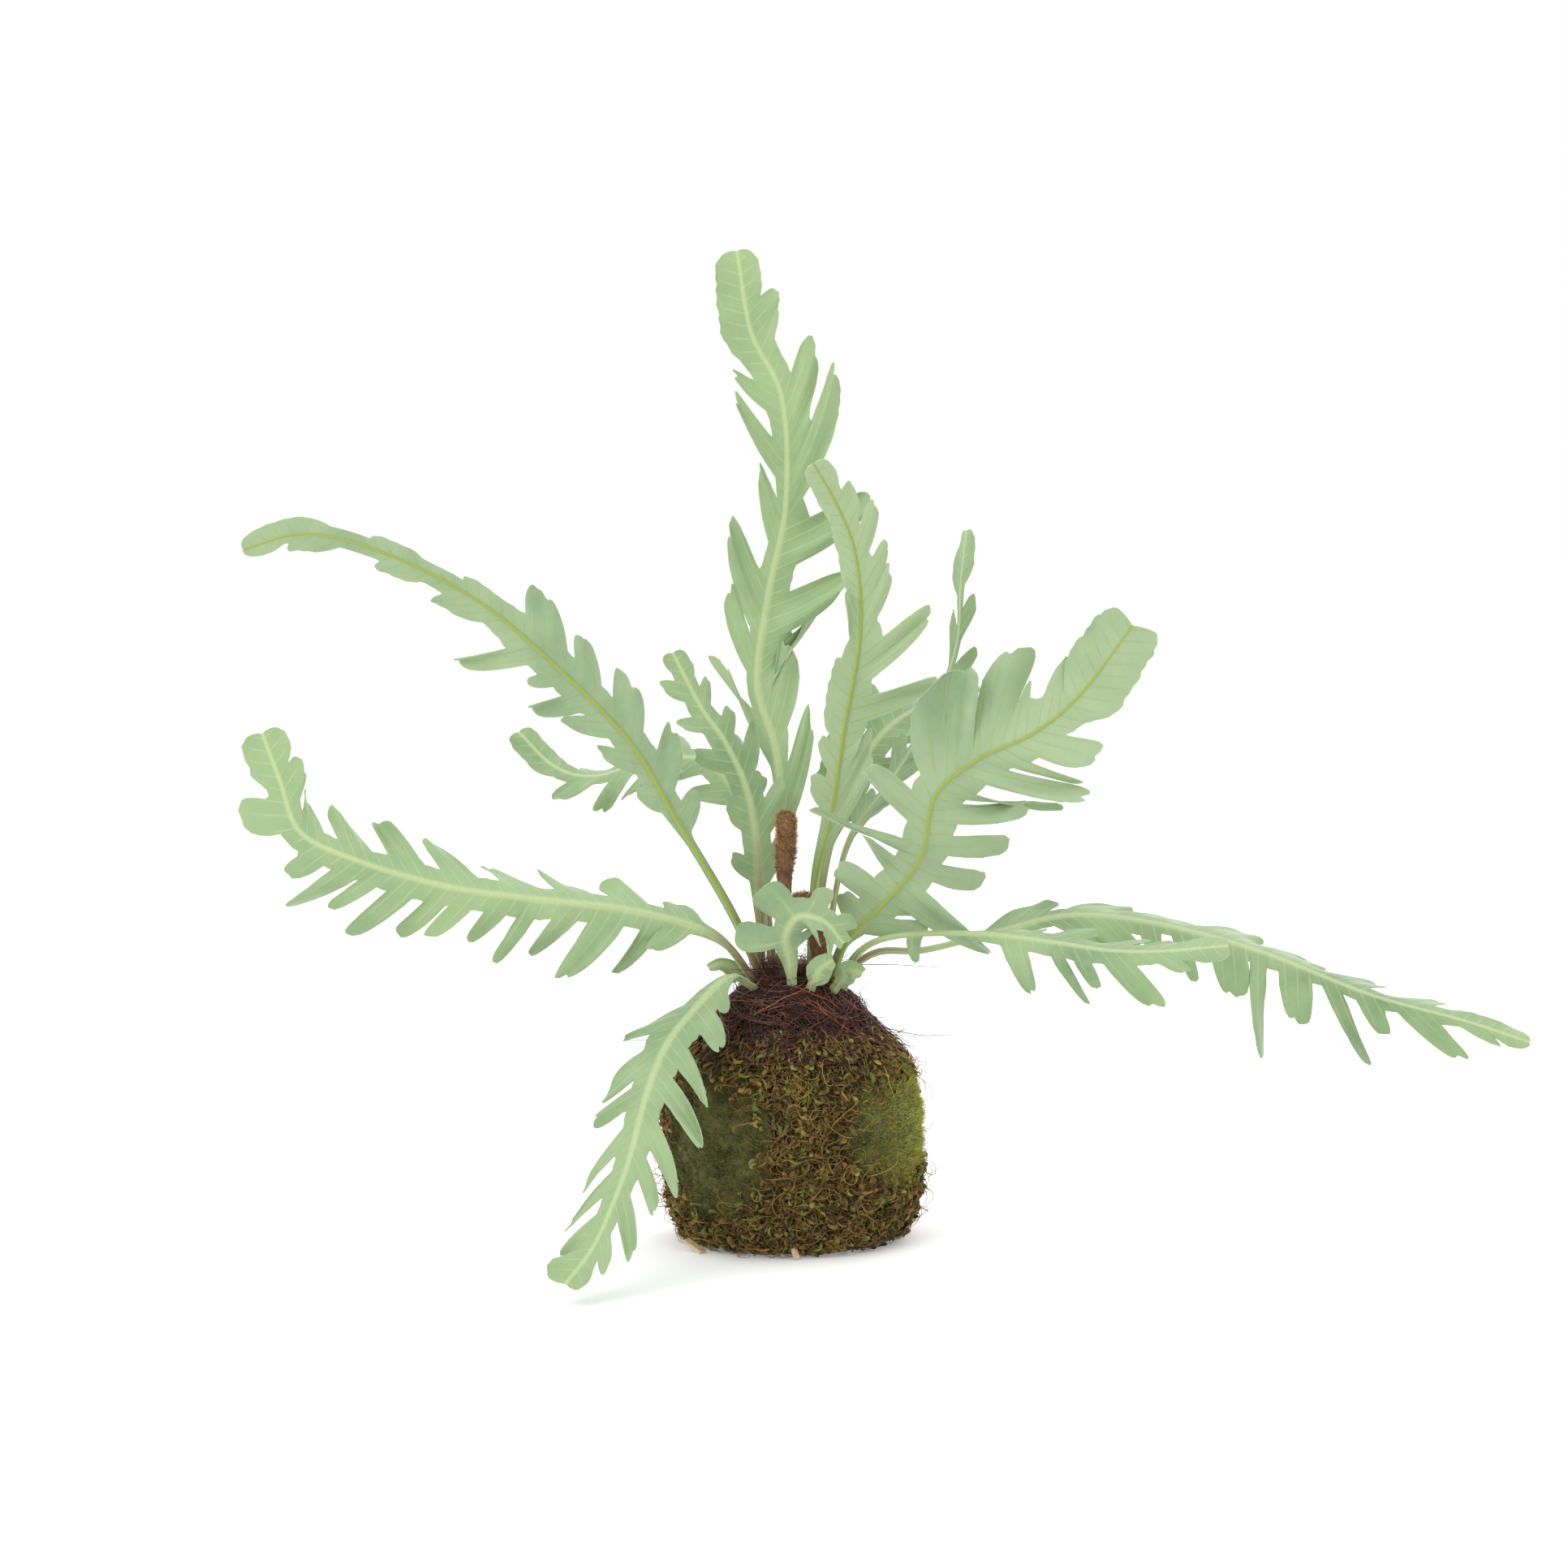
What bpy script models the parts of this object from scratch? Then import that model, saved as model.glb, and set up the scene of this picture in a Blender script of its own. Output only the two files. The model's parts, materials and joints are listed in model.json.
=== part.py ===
"""A blue-green fern growing from a ball of moss, with thirteen lobed fronds.

Units are metres, +Z is up. The origin is the centre of the ball's flat
underside, and the front of the plant looks along -Y.
"""
import math

import bmesh
import bpy
import numpy as np
from mathutils import Matrix, Vector

MM = 0.001
GAP = 0.3 * MM

# Driving dimensions
BALL_RADIUS = 57 * MM
BALL_FLAT_RADIUS = 44 * MM
WRAP_THICKNESS = 7 * MM
CUSHION_GAP = 1.0 * MM
SHOULDER_HEIGHT = 96 * MM
CROWN_HEIGHT = 123 * MM
CROWN_RADIUS = 21 * MM
BLADE_THICKNESS = 0.9
STALK_THICKNESS = 3.8
STALK_HALF_WIDTH = 1.8
VEIN_STEPS = 12
AROUND = 26

COLOURS = {
    "blade": (0.42, 0.58, 0.33, 1.0),
    "pale_blade": (0.60, 0.72, 0.48, 1.0),
    "fuzz": (0.33, 0.17, 0.06, 1.0),
    "root": (0.10, 0.045, 0.03, 1.0),
    "moss": (0.24, 0.20, 0.05, 1.0),
    "bright_moss": (0.36, 0.37, 0.06, 1.0),
    "dark_moss": (0.11, 0.11, 0.035, 1.0),
    "wood": (0.62, 0.45, 0.26, 1.0),
}

# Each frond: its rib as points in millimetres from base to tip, the way the
# blade's near side faces at the base and at the tip, and the lobes on the
# left and right of the rib. A lobe is (start, end, reach, sweep, web, lift):
# start and end as parts of the rib's length, reach in millimetres from the
# rib to the lobe's tip, sweep in degrees between rib and lobe, web in
# millimetres of blade left at the notch above it, and lift in degrees out of
# the blade's plane. "underside" is true where the near side is the lower one,
# which carries the raised rib.
FRONDS = {
    "frond_tall": {
        "rib": [(-4, 9, 127), (-3, 15, 184), (-8, 27, 234), (-17, 36, 266), (-12, 43, 308),
                (-3, 48, 355), (-5, 53, 406), (-20, 57, 438), (-27, 59, 478)],
        "faces": [(0, -1, 0.1), (0, -1, 0.2)],
        "underside": False,
        "blade_from": 0.08,
        "left": [(0.11, 0.18, 30, 30, 10, 4), (0.23, 0.30, 58, 20, 12, 8), (0.33, 0.39, 50, 24, 12, -6),
                 (0.42, 0.52, 50, 42, 12, 10), (0.54, 0.60, 36, 28, 12, -8), (0.63, 0.69, 46, 42, 12, 8),
                 (0.73, 0.80, 30, 42, 12, 0), (0.84, 0.92, 20, 55, 12, 4), (0.93, 1.0, 14, 45, 6, 0)],
        "right": [(0.12, 0.24, 42, 28, 10, 8), (0.25, 0.30, 62, 44, 10, 14), (0.31, 0.345, 52, 46, 14, 4),
                  (0.355, 0.39, 40, 42, 16, -6), (0.43, 0.50, 46, 62, 10, 12), (0.51, 0.555, 50, 62, 12, 6),
                  (0.57, 0.61, 46, 52, 12, 2), (0.62, 0.71, 62, 30, 18, -6), (0.74, 0.81, 34, 44, 12, 6),
                  (0.83, 0.90, 24, 60, 11, 0), (0.91, 0.95, 15, 55, 8, 4), (0.955, 1.0, 10, 40, 5, 0)],
    },
    "frond_pale": {
        "rib": [(9, 11, 127), (11, 13, 170), (19, 17, 205), (25, 19, 245), (32, 20, 284),
                (33, 18, 309), (29, 12, 335), (20, 4, 356), (10, -6, 373)],
        "faces": [(0.1, -1, 0.0), (0, -1, -0.1)],
        "underside": True,
        "blade_from": 0.16,
        "left": [(0.30, 0.36, 13, 60, 5, 0), (0.37, 0.42, 14, 45, 6, 8), (0.44, 0.58, 12, 60, 8, 0),
                 (0.61, 0.68, 22, 34, 9, 60), (0.70, 0.84, 13, 40, 8, -4), (0.87, 1.0, 8, 40, 4, 0)],
        "right": [(0.24, 0.36, 40, 24, 12, -6), (0.47, 0.52, 46, 66, 10, 6), (0.54, 0.61, 46, 48, 14, 10),
                  (0.63, 0.69, 30, 28, 13, 0), (0.70, 0.75, 26, 36, 12, 8), (0.765, 0.82, 27, 34, 9, -8),
                  (0.85, 0.91, 14, 50, 6, 6), (0.93, 1.0, 8, 35, 4, 0)],
    },
    "frond_edge_on": {
        "rib": [(14, 15, 127), (26, 34, 186), (50, 52, 220), (70, 66, 252), (82, 74, 285),
                (84, 78, 314), (87, 82, 341)],
        "faces": [(-0.9, -0.4, 0.5), (-0.95, -0.3, 0.1)],
        "underside": False,
        "blade_from": 0.22,
        "left": [(0.30, 0.38, 20, 45, 7, 10), (0.42, 0.50, 26, 40, 7, 20), (0.55, 0.63, 26, 36, 6, 10),
                 (0.70, 0.78, 22, 30, 4, 20), (0.86, 1.0, 12, 30, 4, 10)],
        "right": [(0.28, 0.36, 18, 45, 7, -10), (0.40, 0.47, 24, 40, 7, -25), (0.52, 0.60, 30, 32, 6, -35),
                  (0.63, 0.70, 24, 30, 5, -45), (0.76, 0.82, 18, 28, 4, -40), (0.88, 1.0, 11, 30, 4, -10)],
    },
    "frond_broad": {
        "rib": [(18, -6, 125), (25, -12, 145), (42, -23, 164), (60, -38, 188), (66, -53, 218),
                (85, -66, 236), (110, -80, 249), (131, -92, 268), (153, -103, 299)],
        "faces": [(0.1, -1, -0.2), (0.2, -1, 0.1)],
        "underside": True,
        "blade_from": 0.09,
        "left": [(0.12, 0.17, 18, 75, 9, 4), (0.19, 0.24, 29, 92, 10, 10), (0.26, 0.305, 28, 82, 10, -6),
                 (0.33, 0.37, 60, 84, 10, 8), (0.39, 0.45, 42, 56, 12, 2), (0.47, 0.58, 52, 50, 18, -4),
                 (0.59, 0.655, 50, 58, 20, -16), (0.665, 0.71, 28, 55, 17, 2), (0.73, 0.80, 30, 42, 15, 0),
                 (0.83, 1.0, 18, 38, 10, 0)],
        "right": [(0.12, 0.17, 30, 58, 9, -4), (0.18, 0.205, 26, 58, 9, 4), (0.22, 0.28, 54, 90, 10, 12),
                  (0.30, 0.335, 38, 96, 10, -8), (0.35, 0.385, 40, 92, 12, 2), (0.41, 0.46, 46, 84, 13, 10),
                  (0.48, 0.515, 60, 80, 14, -6), (0.54, 0.59, 58, 56, 14, 4), (0.61, 0.65, 42, 56, 14, -8),
                  (0.67, 0.73, 34, 48, 12, 4), (0.77, 1.0, 22, 48, 10, 0)],
    },
    "frond_back_right": {
        "rib": [(9, 18, 128), (17, 42, 181), (29, 68, 213), (46, 88, 240), (72, 106, 254), (103, 119, 251),
                (128, 128, 240)],
        "faces": [(0.3, -0.6, 0.8), (0.1, -0.3, 1)],
        "underside": False,
        "blade_from": 0.28,
        "left": [(0.38, 0.44, 22, 60, 8, 4), (0.46, 0.52, 26, 62, 8, -10), (0.56, 0.62, 30, 58, 9, 6),
                 (0.66, 0.72, 30, 52, 9, -12), (0.75, 0.81, 26, 46, 8, 4), (0.85, 1.0, 12, 40, 6, -8)],
        "right": [(0.34, 0.41, 20, 62, 8, -6), (0.44, 0.51, 28, 60, 9, 6), (0.55, 0.61, 32, 56, 9, -12),
                  (0.65, 0.71, 28, 52, 9, -20), (0.74, 0.80, 24, 48, 8, -10), (0.84, 1.0, 12, 40, 6, -8)],
    },
    "frond_small": {
        "rib": [(0, -20, 124), (0, -26, 137), (1, -31, 150), (3, -34, 161), (7, -38, 169)],
        "faces": [(0.1, -1, 0.3), (0.1, -0.7, 0.8)],
        "underside": False,
        "blade_from": 0.10,
        "left": [(0.42, 0.52, 16, 80, 4, -10), (0.58, 0.68, 22, 70, 4, 15), (0.78, 0.88, 12, 60, 3, 30)],
        "right": [(0.40, 0.50, 14, 80, 4, 10), (0.58, 0.68, 20, 75, 4, -15), (0.78, 0.90, 18, 60, 3, 20)],
    },
    "frond_right_near": {
        "rib": [(24, -14, 123), (31, -19, 141), (48, -28, 150), (85, -44, 153), (122, -56, 150),
                (147, -62, 147), (170, -66, 147), (201, -70, 150)],
        "faces": [(0, -0.55, 0.85), (0, -0.5, 0.85)],
        "underside": False,
        "blade_from": 0.40,
        "left": [(0.46, 0.53, 16, 50, 8, -14), (0.56, 0.63, 22, 46, 9, -4), (0.67, 0.74, 24, 42, 9, -16),
                 (0.78, 0.85, 18, 40, 7, -4), (0.89, 1.0, 9, 36, 4, 0)],
        "right": [(0.245, 0.28, 15, 85, 0.6, -35), (0.47, 0.53, 30, 66, 7, -38), (0.58, 0.61, 34, 58, 9, -45),
                  (0.63, 0.67, 24, 58, 10, -30), (0.69, 0.76, 36, 48, 10, -38), (0.81, 0.86, 18, 44, 8, -30),
                  (0.90, 1.0, 10, 36, 4, -10)],
    },
    "frond_right_far": {
        "rib": [(23, 3, 128), (41, 4, 139), (64, 4, 140), (100, 2, 149), (133, -2, 157), (172, -6, 154),
                (222, -10, 141), (276, -12, 120), (319, -12, 108), (353, -12, 97)],
        "faces": [(0, -0.5, 0.9), (0, -0.6, 0.8)],
        "underside": False,
        "blade_from": 0.19,
        "left": [(0.21, 0.29, 24, 46, 6, -8), (0.32, 0.39, 34, 50, 9, -30), (0.42, 0.48, 34, 54, 9, -34),
                 (0.51, 0.57, 30, 54, 9, -26), (0.60, 0.66, 32, 50, 8, -34), (0.69, 0.75, 28, 46, 7, -24),
                 (0.78, 0.84, 24, 40, 7, -20), (0.88, 1.0, 9, 36, 4, -6)],
        "right": [(0.22, 0.27, 12, 60, 5, -30), (0.30, 0.40, 36, 46, 10, -40), (0.43, 0.46, 16, 72, 5, -36),
                  (0.475, 0.50, 28, 66, 5, -40), (0.53, 0.585, 27, 72, 7, -44), (0.59, 0.615, 52, 78, 7, -46),
                  (0.63, 0.68, 29, 70, 6, -44), (0.69, 0.72, 46, 50, 6, -44), (0.74, 0.775, 22, 50, 8, -36),
                  (0.79, 0.85, 36, 36, 9, -34), (0.88, 0.93, 16, 30, 6, -20), (0.95, 1.0, 7, 30, 3, 0)],
    },
    "frond_left_low": {
        "rib": [(-17, -9, 125), (-37, -17, 149), (-76, -28, 162), (-125, -38, 169), (-163, -42, 175),
                (-204, -42, 187), (-231, -38, 200), (-241, -32, 223), (-250, -28, 246)],
        "faces": [(0, -0.6, 0.8), (-0.1, -0.8, 0.4)],
        "underside": False,
        "blade_from": 0.08,
        "left": [(0.15, 0.20, 20, 60, 7, -30), (0.205, 0.235, 36, 76, 8, -44), (0.26, 0.32, 42, 68, 9, -40),
                 (0.335, 0.375, 32, 60, 10, -34), (0.41, 0.435, 36, 70, 10, -40), (0.45, 0.485, 28, 62, 10, -30),
                 (0.505, 0.54, 30, 58, 10, -34), (0.55, 0.58, 36, 64, 10, -42), (0.60, 0.64, 42, 62, 10, -40),
                 (0.655, 0.685, 32, 56, 10, -30), (0.695, 0.735, 42, 60, 9, -40), (0.75, 0.79, 22, 60, 8, -30),
                 (0.83, 0.88, 26, 66, 8, -20), (0.90, 1.0, 14, 42, 7, -6)],
        "right": [(0.13, 0.19, 14, 60, 6, -6), (0.22, 0.28, 24, 60, 8, -16), (0.31, 0.37, 30, 60, 9, -26),
                  (0.40, 0.46, 32, 58, 9, -20), (0.50, 0.56, 34, 54, 10, 2), (0.59, 0.65, 34, 50, 10, 8),
                  (0.68, 0.74, 32, 50, 9, -14), (0.77, 0.83, 24, 52, 8, -8), (0.86, 0.92, 16, 50, 8, 0),
                  (0.93, 1.0, 12, 42, 6, 0)],
    },
    "frond_left_high": {
        "rib": [(-15, -2, 128), (-28, -10, 157), (-41, -18, 181), (-56, -28, 207), (-75, -40, 241),
                (-104, -52, 273), (-142, -64, 307), (-184, -72, 330), (-222, -76, 340), (-251, -78, 333)],
        "faces": [(0.1, -1, 0.1), (0, -1, -0.3)],
        "underside": True,
        "blade_from": 0.22,
        "left": [(0.27, 0.31, 12, 50, 6, 0), (0.33, 0.375, 20, 48, 8, -8), (0.395, 0.44, 24, 46, 8, 6),
                 (0.455, 0.49, 28, 66, 8, -6), (0.505, 0.53, 17, 58, 9, 8), (0.55, 0.585, 38, 60, 10, 4),
                 (0.62, 0.68, 23, 48, 9, -6), (0.71, 0.75, 14, 50, 8, 4), (0.78, 0.82, 15, 50, 7, -6),
                 (0.88, 0.93, 13, 56, 6, 0), (0.945, 1.0, 8, 40, 4, 0)],
        "right": [(0.23, 0.27, 16, 60, 6, 4), (0.285, 0.34, 27, 48, 9, -6), (0.37, 0.43, 28, 44, 10, 6),
                  (0.45, 0.50, 27, 44, 11, -6), (0.515, 0.59, 30, 46, 11, 4), (0.62, 0.69, 15, 42, 9, 0),
                  (0.73, 0.80, 13, 42, 8, 6), (0.84, 0.91, 12, 42, 6, -4), (0.93, 1.0, 8, 38, 4, 0)],
    },
    "frond_back_left": {
        "rib": [(-9, 14, 127), (-18, 34, 188), (-39, 62, 225), (-70, 84, 226), (-100, 102, 217), (-121, 114, 221),
                (-140, 124, 238)],
        "faces": [(-0.2, -0.6, 0.8), (0, -0.5, 0.9)],
        "underside": False,
        "blade_from": 0.26,
        "left": [(0.36, 0.42, 22, 60, 8, -14), (0.46, 0.52, 28, 60, 9, -28), (0.56, 0.62, 30, 56, 9, -16),
                 (0.66, 0.72, 28, 52, 8, -26), (0.76, 0.82, 22, 46, 7, -10), (0.86, 1.0, 10, 40, 6, 0)],
        "right": [(0.34, 0.40, 20, 60, 8, -6), (0.44, 0.50, 26, 60, 9, 8), (0.54, 0.60, 28, 54, 9, -10),
                  (0.64, 0.70, 28, 50, 8, 4), (0.75, 0.81, 22, 46, 7, -8), (0.86, 1.0, 10, 40, 6, 0)],
    },
    "frond_left_mid": {
        "rib": [(-15, 4, 128), (-16, 5, 178), (-21, 7, 214), (-32, 11, 239), (-44, 17, 256), (-58, 26, 282)],
        "faces": [(0.2, -1, 0.3), (0.3, -0.8, 0.6)],
        "underside": False,
        "blade_from": 0.14,
        "left": [(0.26, 0.33, 14, 62, 6, 4), (0.40, 0.50, 13, 60, 8, -8), (0.58, 0.66, 20, 62, 8, 6),
                 (0.72, 0.78, 16, 58, 7, -8), (0.83, 0.90, 15, 62, 6, 4), (0.93, 1.0, 7, 40, 4, 0)],
        "right": [(0.24, 0.33, 18, 42, 9, -4), (0.36, 0.46, 26, 42, 10, 8), (0.54, 0.62, 25, 44, 9, -6),
                  (0.67, 0.73, 16, 48, 8, 6), (0.78, 0.85, 15, 46, 6, -4), (0.90, 1.0, 8, 40, 4, 0)],
    },
    "frond_droop": {
        "rib": [(-17, -15, 124), (-30, -30, 131), (-48, -54, 116), (-59, -72, 103), (-67, -94, 84),
                (-74, -118, 58), (-81, -134, 40), (-89, -149, 24), (-100, -162, 11)],
        "faces": [(-0.3, -0.4, 0.9), (-0.3, -1, 0.2)],
        "underside": False,
        "blade_from": 0.06,
        "left": [(0.13, 0.18, 20, 50, 13, -6), (0.20, 0.27, 40, 56, 13, 6), (0.32, 0.39, 48, 52, 13, -4),
                 (0.42, 0.49, 52, 48, 13, 6), (0.53, 0.60, 46, 40, 12, -4), (0.62, 0.68, 40, 36, 10, 6),
                 (0.72, 0.79, 33, 34, 8, -4), (0.83, 0.89, 20, 32, 7, 4), (0.93, 1.0, 8, 30, 4, 0)],
        "right": [(0.20, 0.30, 30, 50, 13, 4), (0.34, 0.42, 34, 45, 12, -6), (0.45, 0.51, 31, 42, 11, 6),
                  (0.55, 0.62, 38, 38, 11, -4), (0.66, 0.73, 38, 35, 10, 6), (0.78, 0.85, 28, 34, 8, -4),
                  (0.90, 1.0, 14, 32, 5, 0)],
    },
}

# Young leaves at the crown: rib points in millimetres, facing, half width.
YOUNG_LEAVES = {
    "young_leaf_front": ([(8, -20, 122), (10, -25, 128), (14, -29, 135), (19, -33, 139)], (0, -1, 0.5), 6),
    "young_leaf_right": ([(19, -17, 122), (23, -22, 128), (27, -27, 133), (33, -33, 133)], (0.2, -1, 0.5), 5),
    "young_leaf_left": ([(-22, -3, 124), (-28, -5, 131), (-34, -8, 134), (-40, -12, 133)], (-0.2, -1, 0.6), 3),
}


def material(name):
    """A plain finish in one of the plant's colours."""
    finish = bpy.data.materials.get(name)
    if finish is None:
        finish = bpy.data.materials.new(name)
        finish.use_nodes = True
        shader = finish.node_tree.nodes["Principled BSDF"]
        shader.inputs["Base Color"].default_value = COLOURS[name]
        shader.inputs["Roughness"].default_value = 0.85 if "moss" in name or name == "root" else 0.55
        shader.inputs["Metallic"].default_value = 0.0
    return finish


def add_object(name, data, colour, collection):
    """Put a mesh or curve in the model with its finish."""
    data.materials.append(material(colour))
    thing = bpy.data.objects.new(name, data)
    collection.objects.link(thing)
    return thing


def curve_through(points, count):
    """A smooth curve through the points, as evenly spaced samples."""
    knots = np.array(points, float)
    knots = np.vstack([2 * knots[0] - knots[1], knots, 2 * knots[-1] - knots[-2]])
    t = np.linspace(0, 1, 32, endpoint=False)[:, None]
    runs = []
    for before, start, end, after in zip(knots, knots[1:], knots[2:], knots[3:]):
        bend = 2 * before - 5 * start + 4 * end - after
        twist = 3 * start - before - 3 * end + after
        runs.append(0.5 * (2 * start + (end - before) * t + bend * t ** 2 + twist * t ** 3))
    runs.append(knots[-2:-1])
    curve = np.vstack(runs)
    along = np.concatenate([[0], np.cumsum(np.linalg.norm(np.diff(curve, axis=0), axis=1))])
    even = np.linspace(0, along[-1], count)
    return np.column_stack([np.interp(even, along, curve[:, axis]) for axis in range(3)])


def unit(vectors):
    """Vectors at length one."""
    return vectors / np.linalg.norm(vectors, axis=-1, keepdims=True)


def at_places(places, samples):
    """Sampled values read at places from 0 to 1."""
    grid = np.linspace(0, 1, len(samples))
    return np.column_stack([np.interp(places, grid, column) for column in np.transpose(samples)])


def lobed_edge(places, lobes, blade_from):
    """Reach, sweep and lift of the blade's edge beside each place on the rib."""
    marks = [0.0, blade_from]
    webs = [0.6, 0.8]
    for start, end, reach, sweep, web, lift in lobes:
        marks.append(end)
        webs.append(web)
    edge = np.interp(places, marks, webs)
    turn_marks = [mark for lobe in lobes for mark in lobe[:2]]
    sweep_now = np.interp(places, turn_marks, np.repeat([lobe[3] for lobe in lobes], 2))
    lift_now = np.interp(places, turn_marks, np.repeat([lobe[5] for lobe in lobes], 2))
    for start, end, reach, sweep, web, lift in lobes:
        across = np.clip((places - start) / (end - start), 0, 1)
        bump = np.sqrt(1 - np.abs(2 * across - 1) ** 4)
        edge = np.maximum(edge, edge + (reach - edge) * bump)
    close = np.clip((places - 0.97) / 0.03, 0, 1)
    return edge * np.sqrt(1 - 0.98 * close ** 2), sweep_now, lift_now


def blade_side(rib, tangent, side, facing, reach, sweep, lift, half_rib):
    """Points from the rib to the edge, bending along the veins."""
    width = np.maximum(reach - half_rib, 0.3)
    points = [rib, rib + side * half_rib[:, None]]
    step = width / VEIN_STEPS
    out = np.zeros(len(rib))
    for count in range(VEIN_STEPS):
        out = out + step
        angle = np.radians(sweep - 14 * out / 50)
        rise = np.radians(lift * np.minimum(out / 14, 1) + lift * 0.5 * out / 50 - 4)
        rise = rise * np.minimum(1, reach / 8)
        flat = np.cos(rise)[:, None] * side + np.sin(rise)[:, None] * facing
        heading = np.cos(angle)[:, None] * tangent + np.sin(angle)[:, None] * flat
        points.append(points[-1] + heading * step[:, None])
    return points


def frond_surface(frond, row_count, columns):
    """The blade's points in rows along the rib, and each point's thickness.

    columns lists the vein steps that are kept on each side of the rib.
    """
    fine = np.linspace(0, 1, 900)
    edges = [lobed_edge(fine, frond[side], frond["blade_from"]) for side in ("left", "right")]
    rib_fine = curve_through(frond["rib"], 900)
    length = np.linalg.norm(np.diff(rib_fine, axis=0), axis=1).sum()
    effort = np.abs(np.diff(edges[0][0])) + np.abs(np.diff(edges[1][0])) + 0.9 * length / 899
    spent = np.concatenate([[0], np.cumsum(effort)])
    places = np.interp(np.linspace(0, spent[-1], row_count), spent, fine)
    rib = at_places(places, rib_fine)
    tangent = unit(at_places(places, np.gradient(rib_fine, axis=0)))
    facing = at_places(places, np.array(frond["faces"], float))
    facing = unit(facing - (facing * tangent).sum(1)[:, None] * tangent)
    right = unit(np.cross(tangent, facing))
    half_rib = np.interp(places, [0, 1], [STALK_HALF_WIDTH, 0.5])
    sides = []
    for name, side in (("left", -right), ("right", right)):
        reach, sweep, lift = lobed_edge(places, frond[name], frond["blade_from"])
        line = blade_side(rib, tangent, side, facing, reach + half_rib, sweep, lift, half_rib)
        sides.append([line[1]] + [line[1 + column] for column in columns])
    rows = np.array(sides[0][::-1] + [rib] + sides[1]).transpose(1, 0, 2)
    ridge = np.interp(places, [0, 1], [STALK_THICKNESS, 1.2])
    thickness = np.full(rows.shape[:2], BLADE_THICKNESS)
    thickness[:, len(columns) + 1] = ridge
    for neighbour in (len(columns), len(columns) + 2):
        thickness[:, neighbour] = np.interp(places, [0, 0.3, 1], [2.4, 1.4, BLADE_THICKNESS])
    return rows, thickness


def sheet_mesh(name, rows, thickness):
    """A sheet of quads over the rows, weighted by its thickness at each point."""
    thickest = np.max(thickness)
    model = bmesh.new()
    weights = model.verts.layers.deform.verify()
    grid = []
    for row, thick_row in zip(rows, thickness):
        line = []
        for point, thick in zip(row, thick_row):
            corner = model.verts.new(Vector(point) * MM)
            corner[weights][0] = thick / thickest
            line.append(corner)
        grid.append(line)
    for low, high in zip(grid, grid[1:]):
        for left in range(len(low) - 1):
            model.faces.new((low[left], low[left + 1], high[left + 1], high[left]))
    mesh = bpy.data.meshes.new(name)
    model.to_mesh(mesh)
    model.free()
    return mesh


def thicken(thing, thickest, underside):
    """Give a sheet its thickness in millimetres, towards its lower side."""
    thing.vertex_groups.new(name="thickness")
    wall = thing.modifiers.new("thickness", "SOLIDIFY")
    wall.thickness = thickest * MM
    wall.vertex_group = "thickness"
    wall.offset = 1.0 if underside else -1.0


def add_frond(name, frond, collection):
    """One frond: stalk, rib and lobed blade grown as one piece."""
    row_count = 13 + 6 * (len(frond["left"]) + len(frond["right"])) // 5
    rows, thickness = frond_surface(frond, row_count, [VEIN_STEPS // 2, VEIN_STEPS])
    mesh = sheet_mesh(name, rows, thickness)
    colour = "pale_blade" if frond["underside"] else "blade"
    thicken(add_object(name, mesh, colour, collection), np.max(thickness), frond["underside"])


def add_young_leaf(name, rib, facing, half_width, collection):
    """A short unlobed leaf that has just opened."""
    lobes = [(0.25, 1.0, half_width, 40, 1, 10)]
    leaf = {"rib": rib, "faces": [facing, facing], "underside": False, "blade_from": 0.1,
            "left": lobes, "right": lobes}
    rows, thickness = frond_surface(leaf, 9, [VEIN_STEPS])
    mesh = sheet_mesh(name, rows, thickness)
    thicken(add_object(name, mesh, "blade", collection), 0.7 * np.max(thickness), False)


def settle(mesh):
    """Press a turned shape into the uneven roundness of a hand-made ball."""
    for vertex in mesh.vertices:
        x, y, z = vertex.co
        angle = math.atan2(y, x)
        lump = 0.022 * math.sin(2 * angle + 0.8) + 0.016 * math.sin(3 * angle + 30 * z)
        vertex.co.x = x * (1 + lump)
        vertex.co.y = y * (1 + lump)


def add_turned(name, profile, colour, collection):
    """A solid turned from (radius, height) points, outer side downwards."""
    mesh = bpy.data.meshes.new(name)
    points = [(radius, 0.0, height) for radius, height in profile]
    mesh.from_pydata(points, [(i, i + 1) for i in range(len(points) - 1)], [])
    thing = add_object(name, mesh, colour, collection)
    turn = thing.modifiers.new("turn", "SCREW")
    turn.steps = AROUND
    turn.render_steps = AROUND
    turn.use_merge_vertices = True
    turn.merge_threshold = 0.00001
    solid = bpy.data.meshes.new_from_object(thing.evaluated_get(bpy.context.evaluated_depsgraph_get()))
    thing.modifiers.clear()
    thing.data = solid
    solid.name = name
    settle(solid)
    return thing


def wrap_radius(height):
    """Outer radius of the moss wrap at a height above the base."""
    heights = [0, 3, 10, 21, 40, 64, 77, 88, 96]
    radii = [44, 48, 51.5, 55, 57, 57, 54, 50, 44]
    return np.interp(height / MM, heights, radii) * MM


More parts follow.
